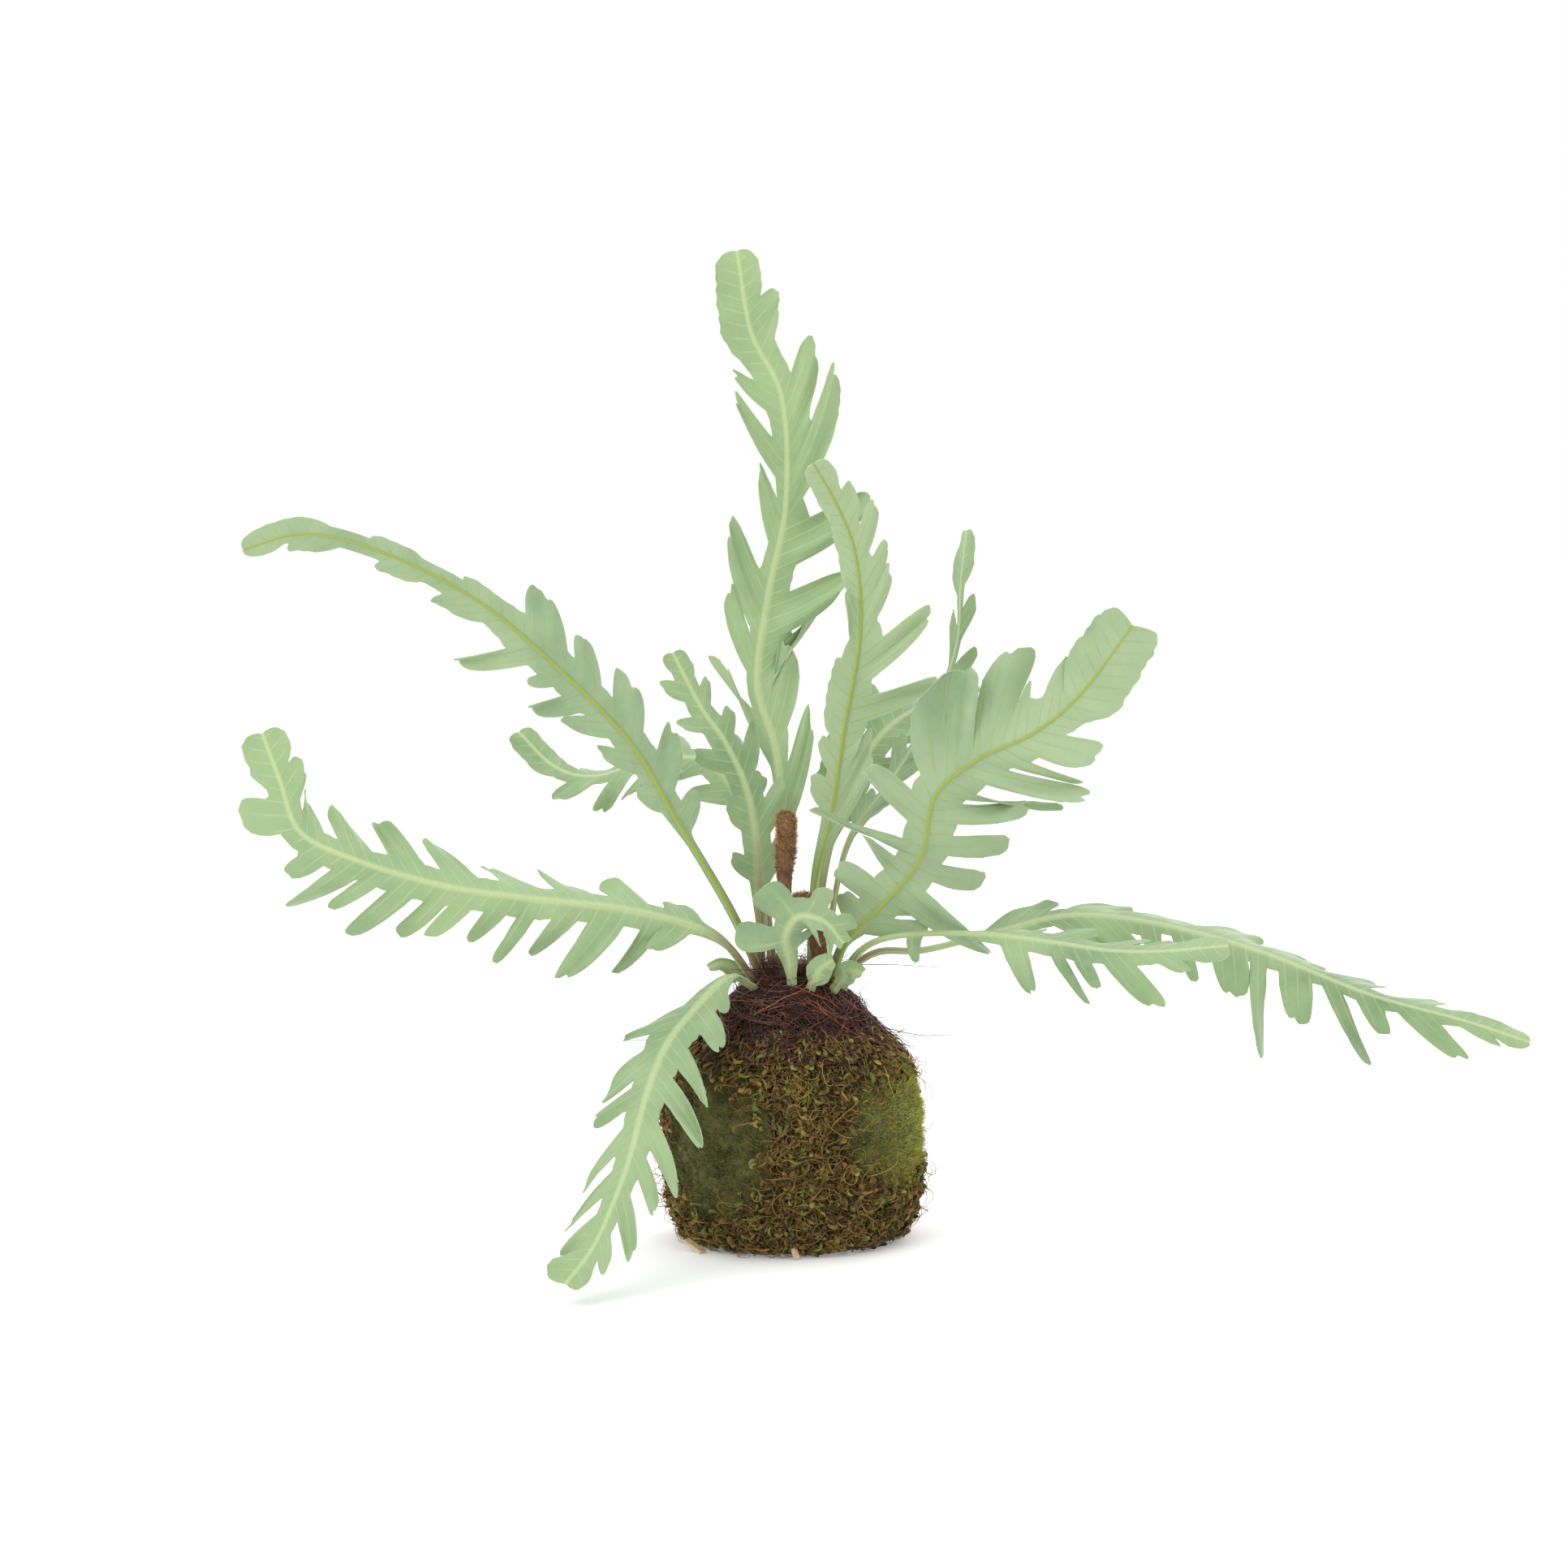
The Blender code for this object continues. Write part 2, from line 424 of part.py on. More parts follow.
def add_ball(collection):
    """Root ball, moss wrap round it, and the collar of root fibre on top."""
    inner = BALL_RADIUS - WRAP_THICKNESS
    floor = 7 * MM
    brim = SHOULDER_HEIGHT
    heights = [brim, 84 * MM, 66 * MM, 42 * MM, 22 * MM, 9 * MM, 3 * MM]
    outside = [(wrap_radius(height), height) for height in heights]
    inside = [(wrap_radius(height) - WRAP_THICKNESS, height) for height in heights[1:-1]][::-1]
    cavity = [(0.0, floor), (0.6 * BALL_FLAT_RADIUS, floor)] + inside
    wrap = cavity + [(wrap_radius(brim) - WRAP_THICKNESS, brim)] + outside
    add_turned("moss_wrap", wrap + [(BALL_FLAT_RADIUS, 0.0), (0.0, 0.0)], "moss", collection)

    top = brim - GAP
    ring = [(radius - GAP, height) for radius, height in inside[::-1]]
    core = [(0.0, top), (wrap_radius(brim) - WRAP_THICKNESS - GAP, top)] + ring
    core += [(0.6 * BALL_FLAT_RADIUS - GAP, floor + GAP), (0.0, floor + GAP)]
    add_turned("root_ball", core, "root", collection)

    collar = [(0.0, CROWN_HEIGHT), (CROWN_RADIUS - 4 * MM, CROWN_HEIGHT), (CROWN_RADIUS, CROWN_HEIGHT - 3 * MM)]
    collar += [(26 * MM, 117 * MM), (31 * MM, 110 * MM), (37 * MM, 103 * MM), (43 * MM, brim + GAP)]
    add_turned("fibre_collar", collar + [(0.0, brim + GAP)], "root", collection)
    return inner


def add_cushion(name, middle, spread, low, high, thickness, colour, collection):
    """A pad of cushion moss that lies on the wrap, given in degrees round it."""
    rows = []
    weights = []
    for up in 0.5 - 0.5 * np.cos(np.linspace(0, math.pi, 8)):
        row = []
        weight = []
        for across in np.linspace(-1, 1, 11):
            roundness = math.sqrt(max(0.0, 1 - abs(2 * up - 1) ** 2.5))
            angle = math.radians(middle + spread * across * max(roundness, 0.25))
            height = (low + (high - low) * up) * MM
            radius = wrap_radius(height) + CUSHION_GAP
            row.append((radius * math.cos(angle) / MM, radius * math.sin(angle) / MM, height / MM))
            weight.append((0.8 + (thickness - 0.8) * roundness * math.sqrt(1 - across ** 4)))
        rows.append(row)
        weights.append(weight)
    mesh = sheet_mesh(name, rows, np.array(weights))
    settle(mesh)
    thicken(add_object(name, mesh, colour, collection), np.max(weights), True)


def add_rhizome(collection):
    """The thick creeping stem that lies on the collar and carries the stalks."""
    curve = bpy.data.curves.new("rhizome", "CURVE")
    curve.dimensions = "3D"
    curve.bevel_depth = 6 * MM
    curve.bevel_resolution = 2
    curve.use_fill_caps = True
    line = curve.splines.new("POLY")
    places = [(-8.5, 3, 129.5), (-4, 1.5, 129.6), (2, 1, 129.6), (8, 1, 129.6), (13, 2, 129.5)]
    line.points.add(len(places) - 1)
    for point, place, width in zip(line.points, places, (0.45, 0.95, 1.0, 0.95, 0.45)):
        point.co = (*(Vector(place) * MM), 1.0)
        point.radius = width
    add_object("rhizome", curve, "fuzz", collection)


def add_crozier(name, stem, centre, start_angle, turns, across, radii, collection):
    """An unopened frond: a straight stem that ends in a coiled head."""
    places = [Vector(place) for place in stem]
    outward, upward = Vector(across), Vector((0, 0, 1))
    steps = 12
    for step in range(steps + 1):
        part = step / steps
        angle = math.radians(start_angle) + 2 * math.pi * turns * part
        reach = radii[0] + (radii[1] - radii[0]) * part
        places.append(Vector(centre) + reach * (math.cos(angle) * outward + math.sin(angle) * upward))
    curve = bpy.data.curves.new(name, "CURVE")
    curve.dimensions = "3D"
    curve.bevel_depth = 1 * MM
    curve.bevel_resolution = 2
    curve.use_fill_caps = True
    line = curve.splines.new("POLY")
    line.points.add(len(places) - 1)
    for index, (point, place) in enumerate(zip(line.points, places)):
        point.co = (*(place * MM), 1.0)
        curl = max(0, index - len(stem)) / steps
        point.radius = radii[2] + (radii[3] - radii[2]) * curl
    add_object(name, curve, "fuzz", collection)


def add_chip(name, size, place, turn, collection):
    """A split flake of bark with broken corners."""
    bpy.ops.mesh.primitive_cube_add(size=1.0)
    chip = bpy.context.active_object
    chip.name = name
    chip.data.name = name
    shape = Matrix.Translation(Vector(place) * MM)
    shape = shape @ Matrix.Rotation(math.radians(turn[0]), 4, "Z") @ Matrix.Rotation(math.radians(turn[1]), 4, "Y")
    chip.data.transform(shape @ Matrix.Diagonal((*(Vector(size) * MM), 1.0)))
    for vertex in chip.data.vertices:
        vertex.co.z += 0.0004 * math.sin(900 * vertex.co.x + 700 * vertex.co.y)
    chip.data.materials.append(material("wood"))
    edge = chip.modifiers.new("worn_edges", "BEVEL")
    edge.width = 0.4 * MM
    edge.segments = 1
    for owner in list(chip.users_collection):
        owner.objects.unlink(chip)
    collection.objects.link(chip)


def main():
    for thing in list(bpy.data.objects):
        bpy.data.objects.remove(thing)
    plant = bpy.data.collections.new("moss_ball_fern")
    bpy.context.scene.collection.children.link(plant)

    add_ball(plant)
    add_cushion("moss_cushion_right", -18, 46, 30, 88, 3.4, "bright_moss", plant)
    add_cushion("moss_cushion_left", -133, 34, 12, 90, 3.2, "dark_moss", plant)
    add_cushion("moss_cushion_back", 96, 44, 22, 84, 3.6, "bright_moss", plant)
    add_rhizome(plant)
    for name, frond in FRONDS.items():
        add_frond(name, frond, plant)
    for name, (rib, facing, half_width) in YOUNG_LEAVES.items():
        add_young_leaf(name, rib, facing, half_width, plant)
    add_crozier("crozier_tall", [(-4, -11, 124), (-4, -11, 146), (-4, -11, 170), (-3, -10, 191)],
                (-3, -15.5, 199), 0, 0.8, (0, 1, 0), (5.5, 4.6, 4.0, 3.0), plant)
    add_crozier("crozier_short", [(12, -11.5, 124), (13, -15, 140), (12.5, -19.5, 152)],
                (5, -21.5, 159), 0, 0.62, (1, 0, 0), (7.5, 6.6, 4.0, 2.6), plant)
    add_chip("bark_chip_left", (12, 5, 1.6), (-46.5, -36.5, 3.2), (-38, 24), plant)
    add_chip("bark_chip_front", (8, 3.0, 1.4), (1, -53.2, 3.8), (-70, 42), plant)


main()
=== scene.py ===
# %% [markdown]
# # A blue-green fern growing from a ball of moss
#
# The plant is a young fern with thirteen lobed fronds. It grows from a root ball that is wrapped in
# moss and has a collar of dark root fibre. This lesson builds it cell by cell: first the camera and
# the light, then the finishes, the moss ball, the crown, and last the fronds.

# %% Load the fixed frame
import math

import bpy
import numpy as np
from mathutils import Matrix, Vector
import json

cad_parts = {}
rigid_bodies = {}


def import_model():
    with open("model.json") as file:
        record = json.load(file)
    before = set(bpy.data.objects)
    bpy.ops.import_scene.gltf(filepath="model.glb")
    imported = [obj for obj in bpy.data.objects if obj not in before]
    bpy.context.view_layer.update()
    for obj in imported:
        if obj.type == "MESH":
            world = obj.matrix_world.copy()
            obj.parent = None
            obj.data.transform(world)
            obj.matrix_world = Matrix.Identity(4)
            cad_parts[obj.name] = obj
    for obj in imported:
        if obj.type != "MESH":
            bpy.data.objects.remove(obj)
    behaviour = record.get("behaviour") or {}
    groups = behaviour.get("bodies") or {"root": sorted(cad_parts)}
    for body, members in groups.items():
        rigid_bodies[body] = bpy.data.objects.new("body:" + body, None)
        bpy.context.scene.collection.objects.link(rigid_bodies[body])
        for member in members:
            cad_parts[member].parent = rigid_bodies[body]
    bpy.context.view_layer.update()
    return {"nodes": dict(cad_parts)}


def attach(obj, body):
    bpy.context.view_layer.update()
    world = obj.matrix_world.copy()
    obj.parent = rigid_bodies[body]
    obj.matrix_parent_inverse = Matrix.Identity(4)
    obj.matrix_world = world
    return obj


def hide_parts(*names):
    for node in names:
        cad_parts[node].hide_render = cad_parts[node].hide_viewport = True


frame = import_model()
MM = 0.001

# %% [markdown]
# ## Camera, floor and light
#
# The plant stands on a plain white floor in a bright studio. A long lens from almost level height
# keeps the fronds undistorted. The light could come from one lamp, but a plant in a white room is lit
# from all sides, so the world gives most of the light and three large soft lamps shape it.

# %% Camera
TARGET = Vector((-0.004, 0.0, 0.220))
VIEW_DISTANCE = 1.775
VIEW_ELEVATION = math.radians(4)

camera_data = bpy.data.cameras.new("camera")
camera_data.lens = 85
camera_data.sensor_width = 36
camera = bpy.data.objects.new("camera", camera_data)
bpy.context.scene.collection.objects.link(camera)
view_from = Vector((0, -math.cos(VIEW_ELEVATION), math.sin(VIEW_ELEVATION)))
camera.location = TARGET + VIEW_DISTANCE * view_from
camera.rotation_euler = view_from.to_track_quat("Z", "Y").to_euler()
bpy.context.scene.camera = camera
print("camera stands", round(camera.location.length, 2), "m from the plant")


# %% Floor, world and lamps
def lamp(name, place, size, watts):
    """A soft square lamp that looks at the middle of the plant."""
    data = bpy.data.lights.new(name, "AREA")
    data.shape = "SQUARE"
    data.size = size
    data.energy = watts
    thing = bpy.data.objects.new(name, data)
    bpy.context.scene.collection.objects.link(thing)
    thing.location = place
    thing.rotation_euler = (Vector(place) - TARGET).to_track_quat("Z", "Y").to_euler()
    return thing


lamp("key_lamp", (-1.1, -1.5, 1.7), 1.2, 20)
lamp("top_lamp", (0.3, 0.3, 1.9), 1.6, 9)
lamp("back_lamp", (0.9, 1.6, 1.1), 1.2, 8)

world = bpy.data.worlds.new("white_studio")
world.use_nodes = True
world.node_tree.nodes["Background"].inputs["Color"].default_value = (1.0, 1.0, 1.0, 1.0)
world.node_tree.nodes["Background"].inputs["Strength"].default_value = 1.0
bpy.context.scene.world = world
bpy.context.scene.view_settings.view_transform = "Standard"

bpy.ops.object.select_all(action="DESELECT")
bpy.ops.mesh.primitive_plane_add(size=60)
floor = bpy.context.active_object
floor.name = "floor"
floor_finish = bpy.data.materials.new("white_floor")
floor_finish.use_nodes = True
floor_shader = floor_finish.node_tree.nodes["Principled BSDF"]
floor_shader.inputs["Base Color"].default_value = (0.86, 0.86, 0.87, 1.0)
floor_shader.inputs["Roughness"].default_value = 0.8
floor_shader.inputs["Emission Color"].default_value = (1.0, 1.0, 1.0, 1.0)
floor_shader.inputs["Emission Strength"].default_value = 0.2
floor.data.materials.append(floor_finish)

# %% [markdown]
# ## Node groups that several finishes share
#
# Leaves, moss, fibre and bark all vary from spot to spot. Each could have its own noise nodes, but the
# effect is the same one at another scale, so it is built once as a node group. The first group mixes
# two colours by a noise in the object's own space. The second one colours a strand along its length,
# from the numbers that each strand carries with it.


# %% Helpers for node groups
def new_group(name, inputs, outputs):
    """An empty shader node group with its sockets, its input node and its output node."""
    group = bpy.data.node_groups.new(name, "ShaderNodeTree")
    for label, kind, value in inputs:
        socket = group.interface.new_socket(name=label, in_out="INPUT", socket_type=kind)
        socket.default_value = value
    for label, kind in outputs:
        group.interface.new_socket(name=label, in_out="OUTPUT", socket_type=kind)
    return group, group.nodes.new("NodeGroupInput"), group.nodes.new("NodeGroupOutput")


def add_math(tree, operation, first, second=None, third=None, clamp=False):
    """A math node whose inputs are sockets or numbers; returns its result."""
    node = tree.nodes.new("ShaderNodeMath")
    node.operation = operation
    node.use_clamp = clamp
    for socket, value in zip(node.inputs, (first, second, third)):
        if isinstance(value, bpy.types.NodeSocket):
            tree.links.new(value, socket)
        elif value is not None:
            socket.default_value = value
    return node.outputs[0]


def add_mix(tree, factor, first, second):
    """A colour mix whose factor and colours are sockets or values; returns its result."""
    node = tree.nodes.new("ShaderNodeMix")
    node.data_type = "RGBA"
    for socket, value in ((node.inputs[0], factor), (node.inputs[6], first), (node.inputs[7], second)):
        if isinstance(value, bpy.types.NodeSocket):
            tree.links.new(value, socket)
        elif isinstance(value, tuple):
            socket.default_value = (*value, 1.0)
        else:
            socket.default_value = value
    return node.outputs[2]


def add_range(tree, value, low, high):
    """A smooth step of a value from 0 at low to 1 at high."""
    node = tree.nodes.new("ShaderNodeMapRange")
    node.interpolation_type = "SMOOTHSTEP"
    tree.links.new(value, node.inputs["Value"])
    node.inputs["From Min"].default_value = low
    node.inputs["From Max"].default_value = high
    return node.outputs["Result"]


def add_attribute(tree, name):
    """A number that each point of the mesh carries."""
    node = tree.nodes.new("ShaderNodeAttribute")
    node.attribute_name = name
    return node.outputs["Fac"]


# %% The mottle group
mottle, mottle_in, mottle_out = new_group(
    "mottle",
    [("Scale", "NodeSocketFloat", 40.0), ("Contrast", "NodeSocketFloat", 1.5),
     ("First", "NodeSocketColor", (0, 0, 0, 1)), ("Second", "NodeSocketColor", (1, 1, 1, 1))],
    [("Color", "NodeSocketColor"), ("Mask", "NodeSocketFloat")])
mottle_place = mottle.nodes.new("ShaderNodeTexCoord")
mottle_noise = mottle.nodes.new("ShaderNodeTexNoise")
mottle_noise.inputs["Detail"].default_value = 5.0
mottle_noise.inputs["Roughness"].default_value = 0.6
mottle.links.new(mottle_place.outputs["Object"], mottle_noise.inputs["Vector"])
mottle.links.new(mottle_in.outputs["Scale"], mottle_noise.inputs["Scale"])
centred = add_math(mottle, "SUBTRACT", mottle_noise.outputs["Fac"], 0.5)
mottle_mask = add_math(mottle, "MULTIPLY_ADD", centred, mottle_in.outputs["Contrast"], 0.5, clamp=True)
mottle_mixed = add_mix(mottle, mottle_mask, mottle_in.outputs["First"], mottle_in.outputs["Second"])
mottle.links.new(mottle_mixed, mottle_out.inputs["Color"])
mottle.links.new(mottle_mask, mottle_out.inputs["Mask"])
print("group:", mottle.name, [item.name for item in mottle.interface.items_tree])

# %% The strand group
strand, strand_in, strand_out = new_group(
    "strand",
    [("Dark", "NodeSocketColor", (0, 0, 0, 1)), ("Middle", "NodeSocketColor", (0.5, 0.5, 0.5, 1)),
     ("Light", "NodeSocketColor", (1, 1, 1, 1)), ("Root Shade", "NodeSocketFloat", 0.5)],
    [("Color", "NodeSocketColor")])
strand_tone = add_attribute(strand, "tone")
strand_length = add_attribute(strand, "along")
to_middle = add_math(strand, "MULTIPLY", strand_tone, 2.0, clamp=True)
to_light = add_math(strand, "MULTIPLY_ADD", strand_tone, 2.0, -1.0, clamp=True)
lower_half = add_mix(strand, to_middle, strand_in.outputs["Dark"], strand_in.outputs["Middle"])
whole = add_mix(strand, to_light, lower_half, strand_in.outputs["Light"])
near_root = add_math(strand, "SUBTRACT", 1.0, strand_length, clamp=True)
root_shade = add_math(strand, "MULTIPLY", near_root, strand_in.outputs["Root Shade"])
strand.links.new(add_mix(strand, root_shade, whole, strand_in.outputs["Dark"]), strand_out.inputs["Color"])
print("group:", strand.name, [item.name for item in strand.interface.items_tree])

# %% [markdown]
# ## Finishes of moss, fibre, fuzz and bark
#
# Moss and root fibre are dry and scatter the light, so they are rough with a little sheen. Their
# colour comes mostly from thousands of strands that differ from each other: each strand has a tone of
# its own, and the group above turns that into a colour that is darker near its root.


# %% Helpers for finishes
def finish(name, roughness, sheen=0.0, sheen_tint=(1.0, 1.0, 1.0)):
    """A new material; returns it with its node tree and its shader."""
    made = bpy.data.materials.new(name)
    made.use_nodes = True
    shader = made.node_tree.nodes["Principled BSDF"]
    shader.inputs["Roughness"].default_value = roughness
    shader.inputs["Sheen Weight"].default_value = sheen
    shader.inputs["Sheen Tint"].default_value = (*sheen_tint, 1.0)
    return made, made.node_tree, shader


def place_group(tree, group, **values):
    """A node group in a tree, with its input values."""
    node = tree.nodes.new("ShaderNodeGroup")
    node.node_tree = group
    for label, value in values.items():
        socket = node.inputs[label.replace("_", " ")]
        socket.default_value = (*value, 1.0) if isinstance(value, tuple) else value
    return node


def strand_finish(name, dark, middle, light, root_shade, roughness=0.75, sheen=0.0):
    """A finish for a mat of strands, each with its own tone."""
    made, tree, shader = finish(name, roughness, sheen, light)
    node = place_group(tree, strand, Dark=dark, Middle=middle, Light=light, Root_Shade=root_shade)
    tree.links.new(node.outputs["Color"], shader.inputs["Base Color"])
    return made


def ground_finish(name, first, second, scale, bump, roughness=0.9):
    """A mottled, uneven finish for what lies under the strands."""
    made, tree, shader = finish(name, roughness)
    node = place_group(tree, mottle, Scale=scale, Contrast=2.5, First=first, Second=second)
    tree.links.new(node.outputs["Color"], shader.inputs["Base Color"])
    relief = tree.nodes.new("ShaderNodeBump")
    relief.inputs["Strength"].default_value = bump
    relief.inputs["Distance"].default_value = 0.5 * MM
    tree.links.new(node.outputs["Mask"], relief.inputs["Height"])
    tree.links.new(relief.outputs["Normal"], shader.inputs["Normal"])
    return made


# %% The moss ball's finishes
moss_ground = ground_finish("moss_ground", (0.035, 0.022, 0.008), (0.12, 0.085, 0.02), 160, 0.8)
sheet_moss = strand_finish("sheet_moss", (0.06, 0.035, 0.010), (0.27, 0.15, 0.028), (0.52, 0.38, 0.07), 0.35)
green_moss = strand_finish("green_moss", (0.05, 0.05, 0.012), (0.20, 0.19, 0.035), (0.42, 0.42, 0.09), 0.4)
bright_moss = strand_finish("bright_moss", (0.06, 0.065, 0.01), (0.33, 0.34, 0.035), (0.60, 0.60, 0.10), 0.8,
                            sheen=0.2)
dark_moss = strand_finish("dark_moss", (0.025, 0.022, 0.006), (0.11, 0.105, 0.02), (0.26, 0.24, 0.05), 0.8,
                          sheen=0.1)
pad_ground = ground_finish("pad_ground", (0.035, 0.04, 0.01), (0.13, 0.13, 0.025), 300, 0.5)
fibre_ground = ground_finish("fibre_ground", (0.012, 0.006, 0.004), (0.06, 0.025, 0.014), 220, 0.9)
root_fibre = strand_finish("root_fibre", (0.016, 0.006, 0.005), (0.10, 0.026, 0.014), (0.34, 0.13, 0.06), 0.2,
                           roughness=0.45)
golden_fuzz = strand_finish("golden_fuzz", (0.10, 0.045, 0.012), (0.32, 0.16, 0.045), (0.58, 0.36, 0.13), 0.5,
                            sheen=0.3)
stem_skin = ground_finish("stem_skin", (0.10, 0.035, 0.018), (0.26, 0.13, 0.05), 260, 0.3, roughness=0.6)
split_bark = ground_finish("split_bark", (0.50, 0.33, 0.17), (0.80, 0.64, 0.42), 420, 0.5, roughness=0.8)
print("finishes so far:", len(bpy.data.materials))

# %% [markdown]
# ## Curves and strands
#
# Everything thin on this plant is a strand: moss, root fibre and hair. A strand could be a curve with
# a bevel, but tens of thousands of curves are slow. So one upright tube is modelled, and each
# copy of it is bent along its own line and merged into one mesh. The tube's height is the way along
# the line, and its width is the strand's thickness.


# %% Lines through points
def unit(vectors):
    """Vectors at length one."""
    return vectors / np.maximum(np.linalg.norm(vectors, axis=-1, keepdims=True), 1e-9)


def curve_through(points, count):
    """A smooth curve through the points, as evenly spaced samples."""
    knots = np.array(points, float)
    knots = np.vstack([2 * knots[0] - knots[1], knots, 2 * knots[-1] - knots[-2]])
    t = np.linspace(0, 1, 32, endpoint=False)[:, None]
    runs = []
    for before, start, end, after in zip(knots, knots[1:], knots[2:], knots[3:]):
        bend = 2 * before - 5 * start + 4 * end - after
        twist = 3 * start - before - 3 * end + after
        runs.append(0.5 * (2 * start + (end - before) * t + bend * t ** 2 + twist * t ** 3))
    runs.append(knots[-2:-1])
    curve = np.vstack(runs)
    lengths = np.concatenate([[0], np.cumsum(np.linalg.norm(np.diff(curve, axis=0), axis=1))])
    even = np.linspace(0, lengths[-1], count)
    return np.column_stack([np.interp(even, lengths, curve[:, axis]) for axis in range(3)])


# %% Model one strand and keep its shape
def upright_tube(sides, rings, tip):
    """A tube of radius 1 and height 1 on the origin, cut into rings."""
    bpy.ops.object.select_all(action="DESELECT")
    bpy.ops.mesh.primitive_cone_add(vertices=sides, radius1=1, radius2=tip, depth=1, location=(0, 0, 0.5))
    tube = bpy.context.active_object
    bpy.ops.object.transform_apply(location=True)
    bpy.ops.object.mode_set(mode="EDIT")
    bpy.ops.mesh.select_mode(type="EDGE")
    bpy.ops.mesh.select_all(action="DESELECT")
    bpy.ops.object.mode_set(mode="OBJECT")
    for edge in tube.data.edges:
        low, high = sorted(tube.data.vertices[index].co.z for index in edge.vertices)
        edge.select = high - low > 0.5
    bpy.ops.object.mode_set(mode="EDIT")
    bpy.ops.mesh.subdivide(number_cuts=rings - 1)
    bpy.ops.object.mode_set(mode="OBJECT")
    return tube


def grow_leaflets(tube, length, every):
    """Pull some of the tube's side faces out into pointed leaflets."""
    bpy.ops.object.mode_set(mode="EDIT")
    bpy.ops.mesh.select_mode(type="FACE")
    bpy.ops.mesh.select_all(action="DESELECT")
    bpy.ops.object.mode_set(mode="OBJECT")
    for count, polygon in enumerate(sorted(tube.data.polygons, key=lambda face: face.center.z)):
        polygon.select = abs(polygon.normal.z) < 0.5 and count % every == 1
    bpy.ops.object.mode_set(mode="EDIT")
    bpy.ops.mesh.extrude_faces_move(TRANSFORM_OT_shrink_fatten={"value": length})
    bpy.ops.transform.translate(value=(0, 0, 0.08))
    bpy.ops.mesh.merge(type="COLLAPSE")
    bpy.ops.object.mode_set(mode="OBJECT")


def take_shape(tube):
    """The tube's points and triangles as arrays; the tube itself is removed."""
    mesh = tube.data
    mesh.calc_loop_triangles()
    points = np.empty(len(mesh.vertices) * 3)
    mesh.vertices.foreach_get("co", points)
    triangles = np.empty(len(mesh.loop_triangles) * 3, int)
    mesh.loop_triangles.foreach_get("vertices", triangles)
    bpy.data.objects.remove(tube)
    bpy.data.meshes.remove(mesh)
    return points.reshape(-1, 3), triangles.reshape(-1, 3)


HAIR = take_shape(upright_tube(3, 2, 0.25))
WIRE = take_shape(upright_tube(3, 9, 0.5))
sprig_tube = upright_tube(3, 8, 0.5)
grow_leaflets(sprig_tube, 2.2, 3)
SPRIG = take_shape(sprig_tube)
STEM = take_shape(upright_tube(16, 90, 1.0))
for label, shape in (("hair", HAIR), ("wire", WIRE), ("sprig", SPRIG), ("stem", STEM)):
    print(label, "has", len(shape[1]), "triangles")


# %% Bend copies of a strand along lines
def new_piece(name, points, faces, numbers, material):
    """A mesh object from points in metres, faces and named numbers at each point."""
    mesh = bpy.data.meshes.new(name)
    mesh.vertices.add(len(points))
    mesh.vertices.foreach_set("co", np.asarray(points, float).ravel())
    corners = faces.shape[1]
    mesh.loops.add(faces.size)
    mesh.loops.foreach_set("vertex_index", faces.ravel().astype(np.int32))
    mesh.polygons.add(len(faces))
    mesh.polygons.foreach_set("loop_start", np.arange(0, faces.size, corners, dtype=np.int32))
    mesh.update(calc_edges=True)
    for label, values in numbers.items():
        attribute = mesh.attributes.new(label, "FLOAT", "POINT")
        attribute.data.foreach_set("value", np.asarray(values, float).ravel())
    mesh.materials.append(material)
    mesh.polygons.foreach_set("use_smooth", np.ones(len(faces), bool))
    thing = bpy.data.objects.new(name, mesh)
    bpy.context.scene.collection.objects.link(thing)
    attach(thing, "root")
    return thing


def bend_copies(name, shape, lines, radii, tones, material, taper=0.0):
    """Copies of a strand bent along lines (copies x samples x 3, in millimetres)."""
    points, triangles = shape
    copies, samples = lines.shape[:2]
    tangent = unit(np.gradient(lines, axis=1))
    aside = unit(np.cross(tangent, unit(lines[:, :1] * [1, 1, 0] + [0, 0, 25.0])))
    upward = np.cross(aside, tangent)
    place = np.clip(points[:, 2], 0, 1) * (samples - 1)
    before = np.minimum(place.astype(int), samples - 2)
    share = (place - before)[None, :, None]

    def at_rings(values):
        return values[:, before] * (1 - share) + values[:, before + 1] * share

    width = np.asarray(radii)[:, None, None] * (1 - taper * points[None, :, 2, None])
    across = points[:, 0, None] * at_rings(aside) + points[:, 1, None] * at_rings(upward)
    moved = at_rings(lines) + width * across
    faces = (triangles[None] + np.arange(copies)[:, None, None] * len(points)).reshape(-1, 3)
    numbers = {"tone": np.repeat(np.clip(tones, 0, 1), len(points)),
               "along": np.tile(np.clip(points[:, 2], 0, 1), copies)}
    thing = new_piece(name, moved.reshape(-1, 3) * MM, faces, numbers, material)
    print(name, "has", copies, "strands and", len(faces), "triangles")
    return thing


def soft_noise(places, seed, size):
    """A smooth number from -1 to 1 that wanders over places in millimetres."""
    dice = np.random.default_rng(seed)
    total = np.zeros(places.shape[:-1])
    for _ in range(5):
        direction = unit(dice.normal(size=3)) * 2 * math.pi / (size * dice.uniform(0.7, 1.6))
        total += np.sin(places @ direction + dice.uniform(0, 7))
    return total / 3


# %% [markdown]
# ## The moss ball
#
# The root ball is wrapped in sheet moss and pressed flat underneath. One could spin a profile, but a
# sphere already has even rows of faces, so its rows are moved onto the ball's profile. A cloud
# pattern then pushes it in and out, as moss of uneven depth does. It only shows between the strands.


